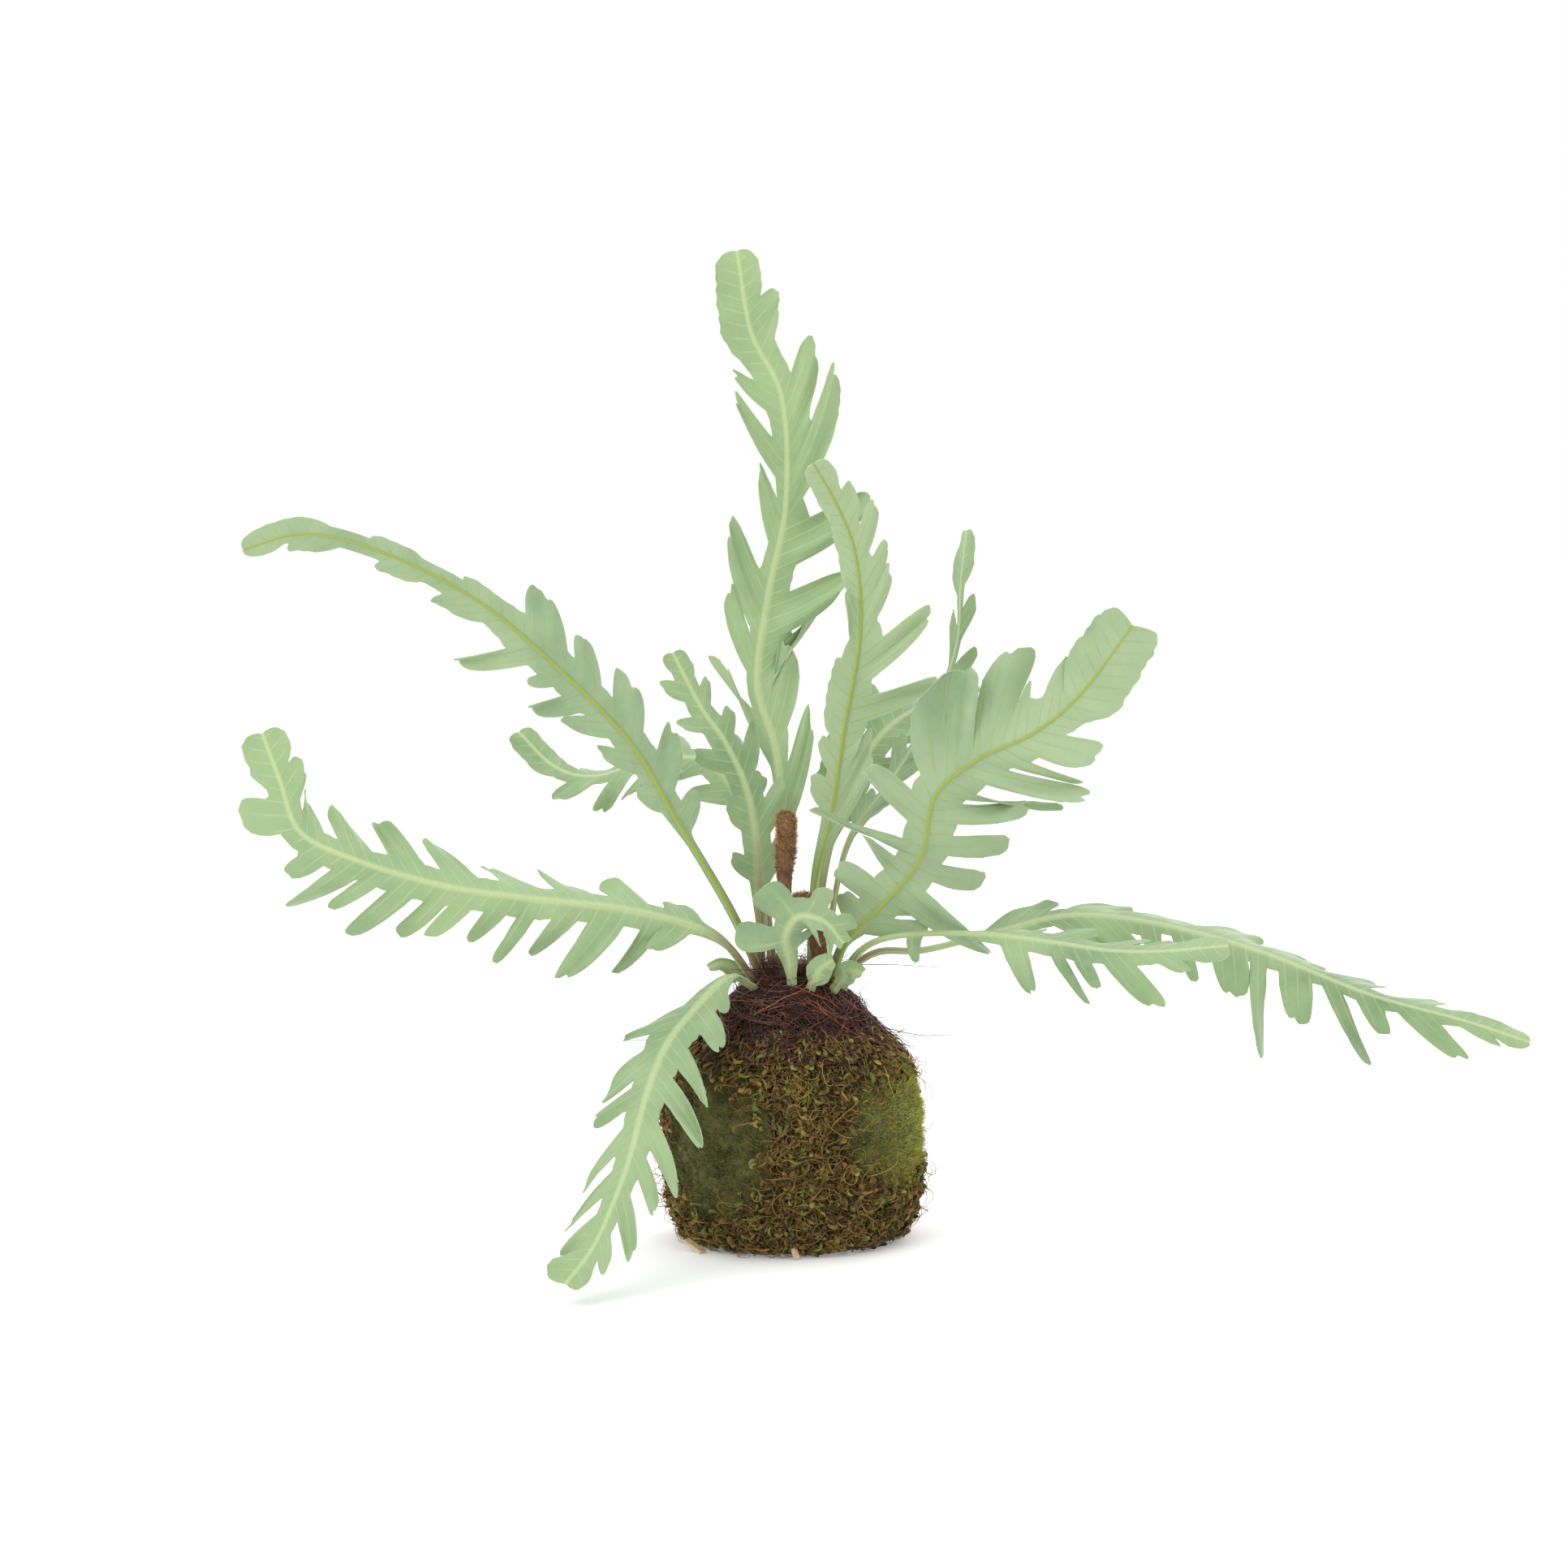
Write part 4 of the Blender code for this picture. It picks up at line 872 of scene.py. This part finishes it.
# %% The shape of each frond
# rib: points in millimetres from base to tip. faces: where the near side faces, at the base and at the
# tip. A lobe is (start, end, reach, sweep, web, lift): start and end as parts of the rib's length,
# reach in millimetres, sweep in degrees from the rib, the web of blade left above it, and its lift in
# degrees. An underside faces the front where that entry is True.
FRONDS = {
    "frond_tall": {
        "rib": [(-4, 9, 127), (-3, 15, 184), (-8, 27, 234), (-17, 36, 266), (-12, 43, 308),
                (-3, 48, 355), (-5, 53, 406), (-20, 57, 438), (-27, 59, 478)],
        "faces": [(0, -1, 0.1), (0, -1, 0.2)],
        "underside": False,
        "blade_from": 0.08,
        "left": [(0.27, 0.35, 50, 26, 7, 6), (0.395, 0.44, 42, 28, 9, -6), (0.455, 0.53, 46, 38, 9, 8),
                 (0.57, 0.635, 33, 34, 7, -6), (0.665, 0.715, 44, 42, 9, 8), (0.755, 0.80, 28, 52, 12, 0),
                 (0.85, 1.0, 15, 66, 6, 0)],
        "right": [(0.19, 0.265, 46, 28, 8, 8), (0.305, 0.36, 43, 36, 17, 10), (0.375, 0.43, 50, 48, 18, -4),
                  (0.455, 0.515, 46, 62, 10, 8), (0.55, 0.61, 52, 56, 14, -6), (0.62, 0.69, 66, 28, 26, 4),
                  (0.72, 0.79, 40, 32, 12, 0), (0.85, 0.92, 22, 58, 9, 0), (0.925, 1.0, 11, 60, 5, 0)],
    },
    "frond_pale": {
        "rib": [(9, 11, 127), (11, 13, 170), (19, 17, 205), (25, 19, 245), (32, 20, 284),
                (33, 18, 309), (29, 12, 335), (20, 4, 356), (10, -6, 373)],
        "faces": [(0.1, -1, 0.0), (0, -1, -0.1)],
        "underside": True,
        "blade_from": 0.16,
        "left": [(0.30, 0.36, 13, 60, 5, 0), (0.37, 0.42, 14, 45, 6, 8), (0.44, 0.58, 12, 60, 8, 0),
                 (0.61, 0.68, 22, 34, 9, 60), (0.70, 0.84, 13, 40, 8, -4), (0.87, 1.0, 8, 40, 4, 0)],
        "right": [(0.24, 0.36, 40, 24, 12, -6), (0.47, 0.52, 46, 66, 10, 6), (0.54, 0.61, 46, 48, 14, 10),
                  (0.63, 0.69, 30, 28, 13, 0), (0.70, 0.75, 26, 36, 12, 8), (0.765, 0.82, 27, 34, 9, -8),
                  (0.85, 0.91, 14, 50, 6, 6), (0.93, 1.0, 8, 35, 4, 0)],
    },
    "frond_edge_on": {
        "rib": [(14, 15, 127), (26, 34, 186), (50, 52, 220), (70, 66, 252), (82, 74, 285),
                (84, 78, 314), (87, 82, 341)],
        "faces": [(-0.9, -0.4, 0.5), (-0.95, -0.3, 0.1)],
        "underside": False,
        "blade_from": 0.22,
        "left": [(0.30, 0.38, 20, 45, 7, 10), (0.42, 0.50, 26, 40, 7, 20), (0.55, 0.63, 26, 36, 6, 10),
                 (0.70, 0.78, 22, 30, 4, 20), (0.86, 1.0, 12, 30, 4, 10)],
        "right": [(0.28, 0.36, 18, 45, 7, -10), (0.40, 0.47, 24, 40, 7, -25), (0.52, 0.60, 30, 32, 6, -35),
                  (0.63, 0.70, 24, 30, 5, -45), (0.76, 0.82, 18, 28, 4, -40), (0.88, 1.0, 11, 30, 4, -10)],
    },
    "frond_broad": {
        "rib": [(18, -6, 125), (25, -12, 145), (42, -23, 164), (60, -38, 188), (66, -53, 218),
                (85, -66, 236), (110, -80, 249), (131, -92, 268), (153, -103, 299)],
        "faces": [(0.1, -1, -0.2), (0.2, -1, 0.1)],
        "underside": True,
        "blade_from": 0.09,
        "left": [(0.12, 0.17, 18, 75, 9, 4), (0.19, 0.24, 29, 92, 10, 10), (0.26, 0.305, 28, 82, 10, -6),
                 (0.33, 0.37, 60, 84, 10, 8), (0.39, 0.45, 42, 56, 12, 2), (0.47, 0.58, 52, 50, 18, -4),
                 (0.59, 0.655, 50, 58, 20, -16), (0.665, 0.71, 28, 55, 17, 2), (0.725, 0.79, 30, 42, 13, 0),
                 (0.81, 1.0, 19, 60, 10, 0)],
        "right": [(0.12, 0.17, 30, 58, 9, -4), (0.18, 0.205, 26, 58, 9, 4), (0.22, 0.28, 54, 90, 10, 12),
                  (0.30, 0.335, 38, 96, 10, -8), (0.35, 0.385, 40, 92, 12, 2), (0.41, 0.46, 46, 84, 13, 10),
                  (0.48, 0.515, 60, 80, 14, -6), (0.54, 0.59, 58, 56, 14, 4), (0.61, 0.65, 42, 56, 14, -8),
                  (0.67, 0.73, 34, 48, 12, 4), (0.78, 1.0, 20, 60, 10, 0)],
    },
    "frond_back_right": {
        "rib": [(9, 18, 128), (17, 42, 181), (29, 68, 213), (46, 88, 240), (72, 106, 254), (103, 119, 251),
                (128, 128, 240)],
        "faces": [(0.3, -0.6, 0.8), (0.1, -0.3, 1)],
        "underside": False,
        "blade_from": 0.28,
        "left": [(0.38, 0.44, 22, 60, 8, 4), (0.46, 0.52, 26, 62, 8, -10), (0.56, 0.62, 30, 58, 9, 6),
                 (0.66, 0.72, 30, 52, 9, -12), (0.75, 0.81, 26, 46, 8, 4), (0.85, 1.0, 12, 40, 6, -8)],
        "right": [(0.34, 0.41, 20, 62, 8, -6), (0.44, 0.51, 28, 60, 9, 6), (0.55, 0.61, 32, 56, 9, -12),
                  (0.65, 0.71, 28, 52, 9, -20), (0.74, 0.80, 24, 48, 8, -10), (0.84, 1.0, 12, 40, 6, -8)],
    },
    "frond_small": {
        "rib": [(0, -20, 124), (-1, -26, 137), (-3, -31, 150), (3, -36, 160), (15, -40, 158), (24, -42, 148)],
        "faces": [(0.1, -1, 0.3), (0.1, -0.8, 0.6)],
        "underside": False,
        "blade_from": 0.10,
        "left": [(0.36, 0.46, 24, 105, 6, -10), (0.49, 0.60, 22, 85, 8, 25), (0.64, 0.74, 15, 70, 7, 30),
                 (0.80, 0.90, 12, 60, 5, 30)],
        "right": [(0.28, 0.40, 17, 70, 6, 10), (0.46, 0.56, 14, 60, 7, -25), (0.62, 0.72, 15, 60, 6, -15),
                  (0.78, 0.92, 13, 50, 4, 20)],
    },
    "frond_right_near": {
        "rib": [(24, -14, 123), (31, -19, 141), (48, -28, 150), (85, -44, 153), (122, -56, 150),
                (147, -62, 147), (170, -66, 147), (201, -70, 150)],
        "faces": [(0, -0.55, 0.85), (0, -0.5, 0.85)],
        "underside": False,
        "blade_from": 0.40,
        "left": [(0.46, 0.53, 16, 50, 8, -14), (0.56, 0.63, 22, 46, 9, -4), (0.67, 0.74, 24, 42, 9, -16),
                 (0.78, 0.85, 18, 40, 7, -4), (0.89, 1.0, 9, 36, 4, 0)],
        "right": [(0.245, 0.28, 15, 85, 0.6, -35), (0.47, 0.53, 30, 66, 7, -38), (0.58, 0.61, 34, 58, 9, -45),
                  (0.63, 0.67, 24, 58, 10, -30), (0.69, 0.76, 36, 48, 10, -38), (0.81, 0.86, 18, 44, 8, -30),
                  (0.90, 1.0, 10, 36, 4, -10)],
    },
    "frond_right_far": {
        "rib": [(23, 3, 128), (41, 4, 139), (64, 4, 140), (100, 2, 149), (133, -2, 157), (172, -6, 154),
                (222, -10, 141), (276, -12, 120), (319, -12, 108), (353, -12, 97)],
        "faces": [(0, -0.5, 0.9), (0, -0.6, 0.8)],
        "underside": False,
        "blade_from": 0.19,
        "left": [(0.21, 0.29, 24, 46, 6, -8), (0.32, 0.39, 34, 50, 9, -30), (0.42, 0.48, 34, 54, 9, -34),
                 (0.51, 0.57, 30, 54, 9, -26), (0.60, 0.66, 32, 50, 8, -34), (0.69, 0.75, 28, 46, 7, -24),
                 (0.78, 0.84, 24, 40, 7, -20), (0.88, 1.0, 9, 36, 4, -6)],
        "right": [(0.22, 0.27, 12, 60, 5, -30), (0.30, 0.40, 36, 46, 10, -40), (0.43, 0.46, 16, 72, 5, -36),
                  (0.475, 0.50, 28, 66, 5, -40), (0.53, 0.585, 27, 72, 7, -44), (0.59, 0.615, 52, 78, 7, -46),
                  (0.63, 0.68, 29, 70, 6, -44), (0.69, 0.72, 46, 50, 6, -44), (0.74, 0.775, 22, 50, 8, -36),
                  (0.79, 0.85, 36, 36, 9, -34), (0.88, 0.93, 16, 30, 6, -20), (0.95, 1.0, 7, 30, 3, 0)],
    },
    "frond_left_low": {
        "rib": [(-17, -9, 125), (-37, -17, 149), (-76, -28, 162), (-125, -38, 169), (-163, -42, 175),
                (-204, -42, 187), (-231, -38, 200), (-241, -32, 223), (-250, -28, 246)],
        "faces": [(0, -0.6, 0.8), (-0.1, -0.8, 0.4)],
        "underside": False,
        "blade_from": 0.08,
        "left": [(0.15, 0.20, 20, 60, 7, -30), (0.205, 0.235, 36, 76, 8, -44), (0.26, 0.32, 42, 68, 9, -40),
                 (0.335, 0.375, 32, 60, 10, -34), (0.41, 0.435, 36, 70, 10, -40),
                 (0.45, 0.485, 28, 62, 10, -30),
                 (0.505, 0.54, 30, 58, 10, -34), (0.55, 0.58, 36, 64, 10, -42), (0.60, 0.64, 42, 62, 10, -40),
                 (0.655, 0.685, 32, 56, 10, -30), (0.695, 0.735, 42, 60, 9, -40), (0.75, 0.79, 22, 60, 8, -30),
                 (0.83, 0.88, 26, 66, 8, -20), (0.90, 1.0, 14, 42, 7, -6)],
        "right": [(0.13, 0.19, 14, 60, 6, -6), (0.22, 0.28, 24, 60, 8, -16), (0.31, 0.37, 30, 60, 9, -26),
                  (0.40, 0.46, 32, 58, 9, -20), (0.50, 0.56, 34, 54, 10, 2), (0.59, 0.65, 34, 50, 10, 8),
                  (0.68, 0.74, 32, 50, 9, -14), (0.77, 0.83, 24, 52, 8, -8), (0.86, 0.92, 16, 50, 8, 0),
                  (0.93, 1.0, 12, 42, 6, 0)],
    },
    "frond_left_high": {
        "rib": [(-15, -2, 128), (-28, -10, 157), (-41, -18, 181), (-56, -28, 207), (-75, -40, 241),
                (-104, -52, 273), (-142, -64, 307), (-184, -72, 330), (-222, -76, 340), (-251, -78, 333)],
        "faces": [(0.1, -1, 0.1), (0, -1, -0.3)],
        "underside": True,
        "blade_from": 0.22,
        "left": [(0.27, 0.31, 12, 50, 6, 0), (0.33, 0.375, 20, 48, 8, -8), (0.395, 0.44, 24, 46, 8, 6),
                 (0.455, 0.49, 28, 66, 8, -6), (0.505, 0.53, 17, 58, 9, 8), (0.55, 0.585, 38, 60, 10, 4),
                 (0.63, 0.70, 18, 44, 7, -6), (0.735, 0.80, 12, 46, 5, 4), (0.86, 0.93, 11, 50, 4, 0),
                 (0.945, 1.0, 6, 40, 4, 0)],
        "right": [(0.23, 0.27, 16, 60, 6, 4), (0.285, 0.34, 27, 48, 9, -6), (0.37, 0.43, 28, 44, 10, 6),
                  (0.45, 0.50, 27, 44, 11, -6), (0.515, 0.59, 30, 46, 11, 4), (0.63, 0.69, 10, 42, 6, 0),
                  (0.75, 0.82, 9, 42, 5, 6), (0.88, 1.0, 8, 42, 4, -4)],
    },
    "frond_back_left": {
        "rib": [(-9, 14, 127), (-18, 34, 188), (-39, 62, 225), (-70, 84, 226), (-100, 102, 217),
                (-121, 114, 221), (-140, 124, 238)],
        "faces": [(-0.2, -0.6, 0.8), (0, -0.5, 0.9)],
        "underside": False,
        "blade_from": 0.26,
        "left": [(0.36, 0.42, 22, 60, 8, -14), (0.46, 0.52, 28, 60, 9, -28), (0.56, 0.62, 30, 56, 9, -16),
                 (0.66, 0.72, 28, 52, 8, -26), (0.76, 0.82, 22, 46, 7, -10), (0.86, 1.0, 10, 40, 6, 0)],
        "right": [(0.34, 0.40, 20, 60, 8, -6), (0.44, 0.50, 26, 60, 9, 8), (0.54, 0.60, 28, 54, 9, -10),
                  (0.64, 0.70, 28, 50, 8, 4), (0.75, 0.81, 22, 46, 7, -8), (0.86, 1.0, 10, 40, 6, 0)],
    },
    "frond_left_mid": {
        "rib": [(-15, 4, 128), (-16, 5, 178), (-21, 7, 214), (-32, 11, 239), (-44, 17, 256), (-58, 26, 282)],
        "faces": [(0.2, -1, 0.3), (0.3, -0.8, 0.6)],
        "underside": False,
        "blade_from": 0.14,
        "left": [(0.26, 0.33, 14, 62, 6, 4), (0.40, 0.50, 13, 60, 8, -8), (0.58, 0.66, 20, 62, 8, 6),
                 (0.72, 0.78, 16, 58, 7, -8), (0.83, 0.90, 15, 62, 6, 4), (0.93, 1.0, 7, 40, 4, 0)],
        "right": [(0.24, 0.33, 18, 42, 9, -4), (0.36, 0.46, 26, 42, 10, 8), (0.54, 0.62, 25, 44, 9, -6),
                  (0.67, 0.73, 16, 48, 8, 6), (0.78, 0.85, 15, 46, 6, -4), (0.90, 1.0, 8, 40, 4, 0)],
    },
    "frond_droop": {
        "rib": [(-17, -15, 124), (-30, -30, 131), (-48, -54, 116), (-59, -72, 103), (-67, -94, 84),
                (-74, -118, 58), (-81, -134, 40), (-89, -149, 24), (-100, -162, 11)],
        "faces": [(-0.3, -0.4, 0.9), (-0.3, -1, 0.2)],
        "underside": False,
        "blade_from": 0.06,
        "left": [(0.13, 0.18, 20, 50, 13, -6), (0.20, 0.27, 40, 56, 13, 6), (0.32, 0.39, 48, 52, 13, -4),
                 (0.42, 0.49, 52, 48, 13, 6), (0.53, 0.60, 46, 40, 12, -4), (0.62, 0.68, 40, 36, 10, 6),
                 (0.72, 0.79, 33, 34, 8, -4), (0.83, 0.89, 20, 32, 7, 4), (0.93, 1.0, 8, 30, 4, 0)],
        "right": [(0.20, 0.30, 30, 50, 13, 4), (0.34, 0.42, 34, 45, 12, -6), (0.45, 0.51, 31, 42, 11, 6),
                  (0.55, 0.62, 38, 38, 11, -4), (0.66, 0.73, 38, 35, 10, 6), (0.78, 0.85, 28, 34, 8, -4),
                  (0.90, 1.0, 14, 32, 5, 0)],
    },
}

YOUNG_LEAVES = {
    "young_leaf_front": ([(8, -20, 122), (10, -25, 128), (14, -29, 135), (19, -33, 139)], (0, -1, 0.5), 6),
    "young_leaf_right": ([(19, -17, 122), (23, -22, 128), (27, -27, 133), (33, -33, 133)], (0.2, -1, 0.5), 5),
    "young_leaf_left": ([(-22, -3, 124), (-28, -5, 131), (-34, -8, 134), (-40, -12, 133)], (-0.2, -1, 0.6), 3),
}
# How red the stalk is, and how pale the blade, of each frond. The paleness is partly the frond's own tone and
# partly painted light: paler for fronds lit from behind, darker for fronds in shade.
ROSY = {"frond_tall": 0.22, "frond_edge_on": 0.4, "frond_back_right": 0.3, "frond_left_mid": 0.4,
        "frond_left_low": 0.14, "frond_left_high": 0.08, "frond_back_left": 0.2, "frond_right_far": 0.14}
FROND_TONE_AND_PAINTED_LIGHT = {"frond_tall": 0.45, "frond_pale": 0.8, "frond_edge_on": 0.2, "frond_broad": 0.35,
        "frond_back_right": 0.15, "frond_small": 0.1, "frond_right_near": 0.2, "frond_right_far": 0.2,
        "frond_left_low": 0.35, "frond_left_high": 0.2, "frond_back_left": 0.1, "frond_left_mid": 0.0,
        "frond_droop": 0.35}
RIB_SAMPLES = 1600
STALK_HALF_WIDTH = 1.8
BLADE_THICKNESS = 0.55
# Where the points of a row lie between the rib and the edge, closer at the rib.
SHARES = [0.03, 0.08, 0.15, 0.24, 0.34, 0.45, 0.56, 0.67, 0.78, 0.88, 0.95, 1.0]


# %% Rows of points over a frond
def at_places(places, samples):
    """Sampled values read at places from 0 to 1."""
    grid = np.linspace(0, 1, len(samples))
    return np.column_stack([np.interp(places, grid, column) for column in np.transpose(samples)])


def lobed_edge(places, lobes, blade_from, length):
    """Reach, sweep and lift of the blade's edge beside each place on the rib."""
    marks = [0.0, blade_from] + [lobe[1] for lobe in lobes]
    edge = np.interp(places, marks, [0.6, 0.8] + [lobe[4] for lobe in lobes])
    turn_marks = [mark for lobe in lobes for mark in lobe[:2]]
    sweeps = [max(lobe[3], 62) if lobe[1] == 1.0 else lobe[3] for lobe in lobes]
    sweep_now = np.interp(places, turn_marks, np.repeat(sweeps, 2))
    lift_now = np.interp(places, turn_marks, np.repeat([lobe[5] for lobe in lobes], 2))
    for count, (start, end, reach, *_) in enumerate(lobes):
        across = np.clip((places - start) / (end - start), 0, 1)
        bump = np.sqrt(1 - np.abs(2 * across - 1) ** 3.4)
        if end == 1.0:
            bump = np.sqrt(1 - across ** 2.4) * np.clip(across / 0.2, 0, 1) ** 0.5
        if reach > 24 and (end - start) * length > 12:
            nick = 0.42 + 0.16 * (count % 2)
            bump = bump - 0.10 * np.exp(-((across - nick) / 0.07) ** 2)
        edge = np.maximum(edge, edge + (reach - edge) * bump)
    ripple = 0.5 * np.sin(places * length * 0.95) + 0.4 * np.sin(places * length * 0.43 + 2)
    edge = edge + ripple * np.clip((edge - 4) / 12, 0, 1)
    close = np.clip((places - 0.97) / 0.03, 0, 1)
    return edge * np.sqrt(1 - 0.98 * close ** 2), sweep_now, lift_now


def blade_side(rib, tangent, side, facing, reach, sweep, lift, half_rib, waves):
    """Points from the rib to the edge, bending along the veins."""
    width = np.maximum(reach - half_rib, 0.3)
    points = [rib + 0.5 * side * half_rib[:, None], rib + side * half_rib[:, None]]
    outs = [0 * width, 0 * width]
    before = 0.0
    for share in SHARES:
        step = width * (share - before)
        out = width * share
        angle = np.radians(sweep - 14 * out / 50)
        rise = np.radians(lift * np.minimum(out / 14, 1) + lift * 0.5 * out / 50 - 4)
        rise = (rise + waves * np.clip(out / 12, 0, 1)) * np.minimum(1, reach / 8)
        flat = np.cos(rise)[:, None] * side + np.sin(rise)[:, None] * facing
        heading = np.cos(angle)[:, None] * tangent + np.sin(angle)[:, None] * flat
        points.append(points[-1] + heading * step[:, None])
        outs.append(out)
        before = share
    return points, outs


def frond_rows(frond, row_count):
    """Rows of points from edge to edge, their thickness and the numbers for the finish."""
    fine = np.linspace(0, 1, RIB_SAMPLES)
    rib_fine = curve_through(frond["rib"], RIB_SAMPLES)
    length = np.linalg.norm(np.diff(rib_fine, axis=0), axis=1).sum()
    edges = [lobed_edge(fine, frond[side], frond["blade_from"], length)[0] for side in ("left", "right")]
    effort = np.abs(np.diff(edges[0])) + np.abs(np.diff(edges[1])) + 1.2 * length / (RIB_SAMPLES - 1)
    spent = np.concatenate([[0], np.cumsum(effort)])
    places = np.interp(np.linspace(0, spent[-1], row_count), spent, fine)
    rib = at_places(places, rib_fine)
    tangent = unit(at_places(places, np.gradient(rib_fine, axis=0)))
    facing = at_places(places, np.array(frond["faces"], float))
    facing = unit(facing - (facing * tangent).sum(1)[:, None] * tangent)
    right = unit(np.cross(tangent, facing))
    half_rib = np.interp(places, [0, 1], [STALK_HALF_WIDTH, 0.45])
    sides = []
    for count, (name, side) in enumerate((("left", -right), ("right", right))):
        reach, sweep, lift = lobed_edge(places, frond[name], frond["blade_from"], length)
        waves = 0.16 * np.sin(places * length / 5.5 + 2 * count) + 0.10 * np.sin(places * length / 2.7 + count)
        sides.append(blade_side(rib, tangent, side, facing, reach + half_rib, sweep, lift, half_rib, waves))
    crown = (0 if frond["underside"] else 0.35) * half_rib * np.interp(places, [0, 0.5, 1], [1.6, 0.4, 0.2])
    middle = rib + facing * crown[:, None]
    rows = np.array(sides[0][0][::-1] + [middle] + sides[1][0]).transpose(1, 0, 2)
    outs = np.array(sides[0][1][::-1] + [0 * places] + sides[1][1]).T
    far = np.maximum(outs[:, :1], 0.1), np.maximum(outs[:, -1:], 0.1)
    half = len(sides[0][0])
    edge = np.hstack([outs[:, :half] / far[0], 0 * outs[:, :1], outs[:, half + 1:] / far[1]])
    from_middle = outs + np.abs(np.arange(rows.shape[1]) - half).clip(0, 2)[None] * 0.5 * half_rib[:, None]
    ridge = np.interp(places, [0, 0.3, 1], [3.6, 2.4, 1.0])
    thickness = np.full(rows.shape[:2], BLADE_THICKNESS)
    for offset, share in ((0, 1.0), (1, 0.85), (2, 0.38)):
        for column in (half - offset, half + offset):
            thickness[:, column] = np.maximum(BLADE_THICKNESS, share * ridge)
    numbers = {"rib_mm": from_middle, "edge": edge, "vein_mm": (places * length)[:, None] + 0 * outs,
               "along": places[:, None] + 0 * outs}
    return rows, thickness, numbers


def add_frond(name, frond, row_count, rosy, tone, thin=1.0):
    """One frond: stalk, rib and lobed blade grown as one piece."""
    rows, thickness, numbers = frond_rows(frond, row_count)
    # The per-frond tone is partly painted light: paler where a frond is lit from behind, darker where it lies
    # in shade.
    numbers["tone"] = tone + 0.22 * soft_noise(rows, len(name), 70) + 0.35 * numbers["along"] - 0.1
    red = np.clip(1 - numbers["along"] / max(rosy, 0.01), 0, 1) * (rosy > 0)
    numbers["rosy"] = 0.85 * red ** 0.7 * np.clip(1.6 - numbers["rib_mm"] / 1.6, 0, 1)
    sheet = grid_sheet(name + "_leaf", rows)
    for label, values in numbers.items():
        attribute = sheet.data.attributes.new(label, "FLOAT", "POINT")
        attribute.data.foreach_set("value", np.clip(values, 0, 500).ravel())
    near, far = (leaf_under, leaf_top) if frond["underside"] else (leaf_top, leaf_under)
    sheet.data.materials.append(near)
    sheet.data.materials.append(far)
    give_wall(sheet, (thin * thickness).ravel(), 1.0 if frond["underside"] else -1.0, second_material=True)
    bpy.ops.object.shade_smooth_by_angle(angle=math.radians(70))
    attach(sheet, "root")
    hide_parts(name)
    return sheet


# %% Grow the fronds
LARGE_FROND_ROWS = 300
SMALL_FROND_ROWS = 160
YOUNG_LEAF_ROWS = 50

for label, frond in FRONDS.items():
    row_count = LARGE_FROND_ROWS if len(frond["left"]) > 5 else SMALL_FROND_ROWS
    grown = add_frond(label, frond, row_count, ROSY.get(label, 0), FROND_TONE_AND_PAINTED_LIGHT[label])
    print(grown.name, "has", len(grown.data.polygons), "faces")

for label, (rib, facing, half_width) in YOUNG_LEAVES.items():
    lobes = [(0.25, 1.0, half_width, 40, 1, 10)]
    young = {"rib": rib, "faces": [facing, facing], "underside": False, "blade_from": 0.1,
             "left": lobes, "right": lobes}
    add_frond(label, young, YOUNG_LEAF_ROWS, 0, 0.5, thin=0.7)
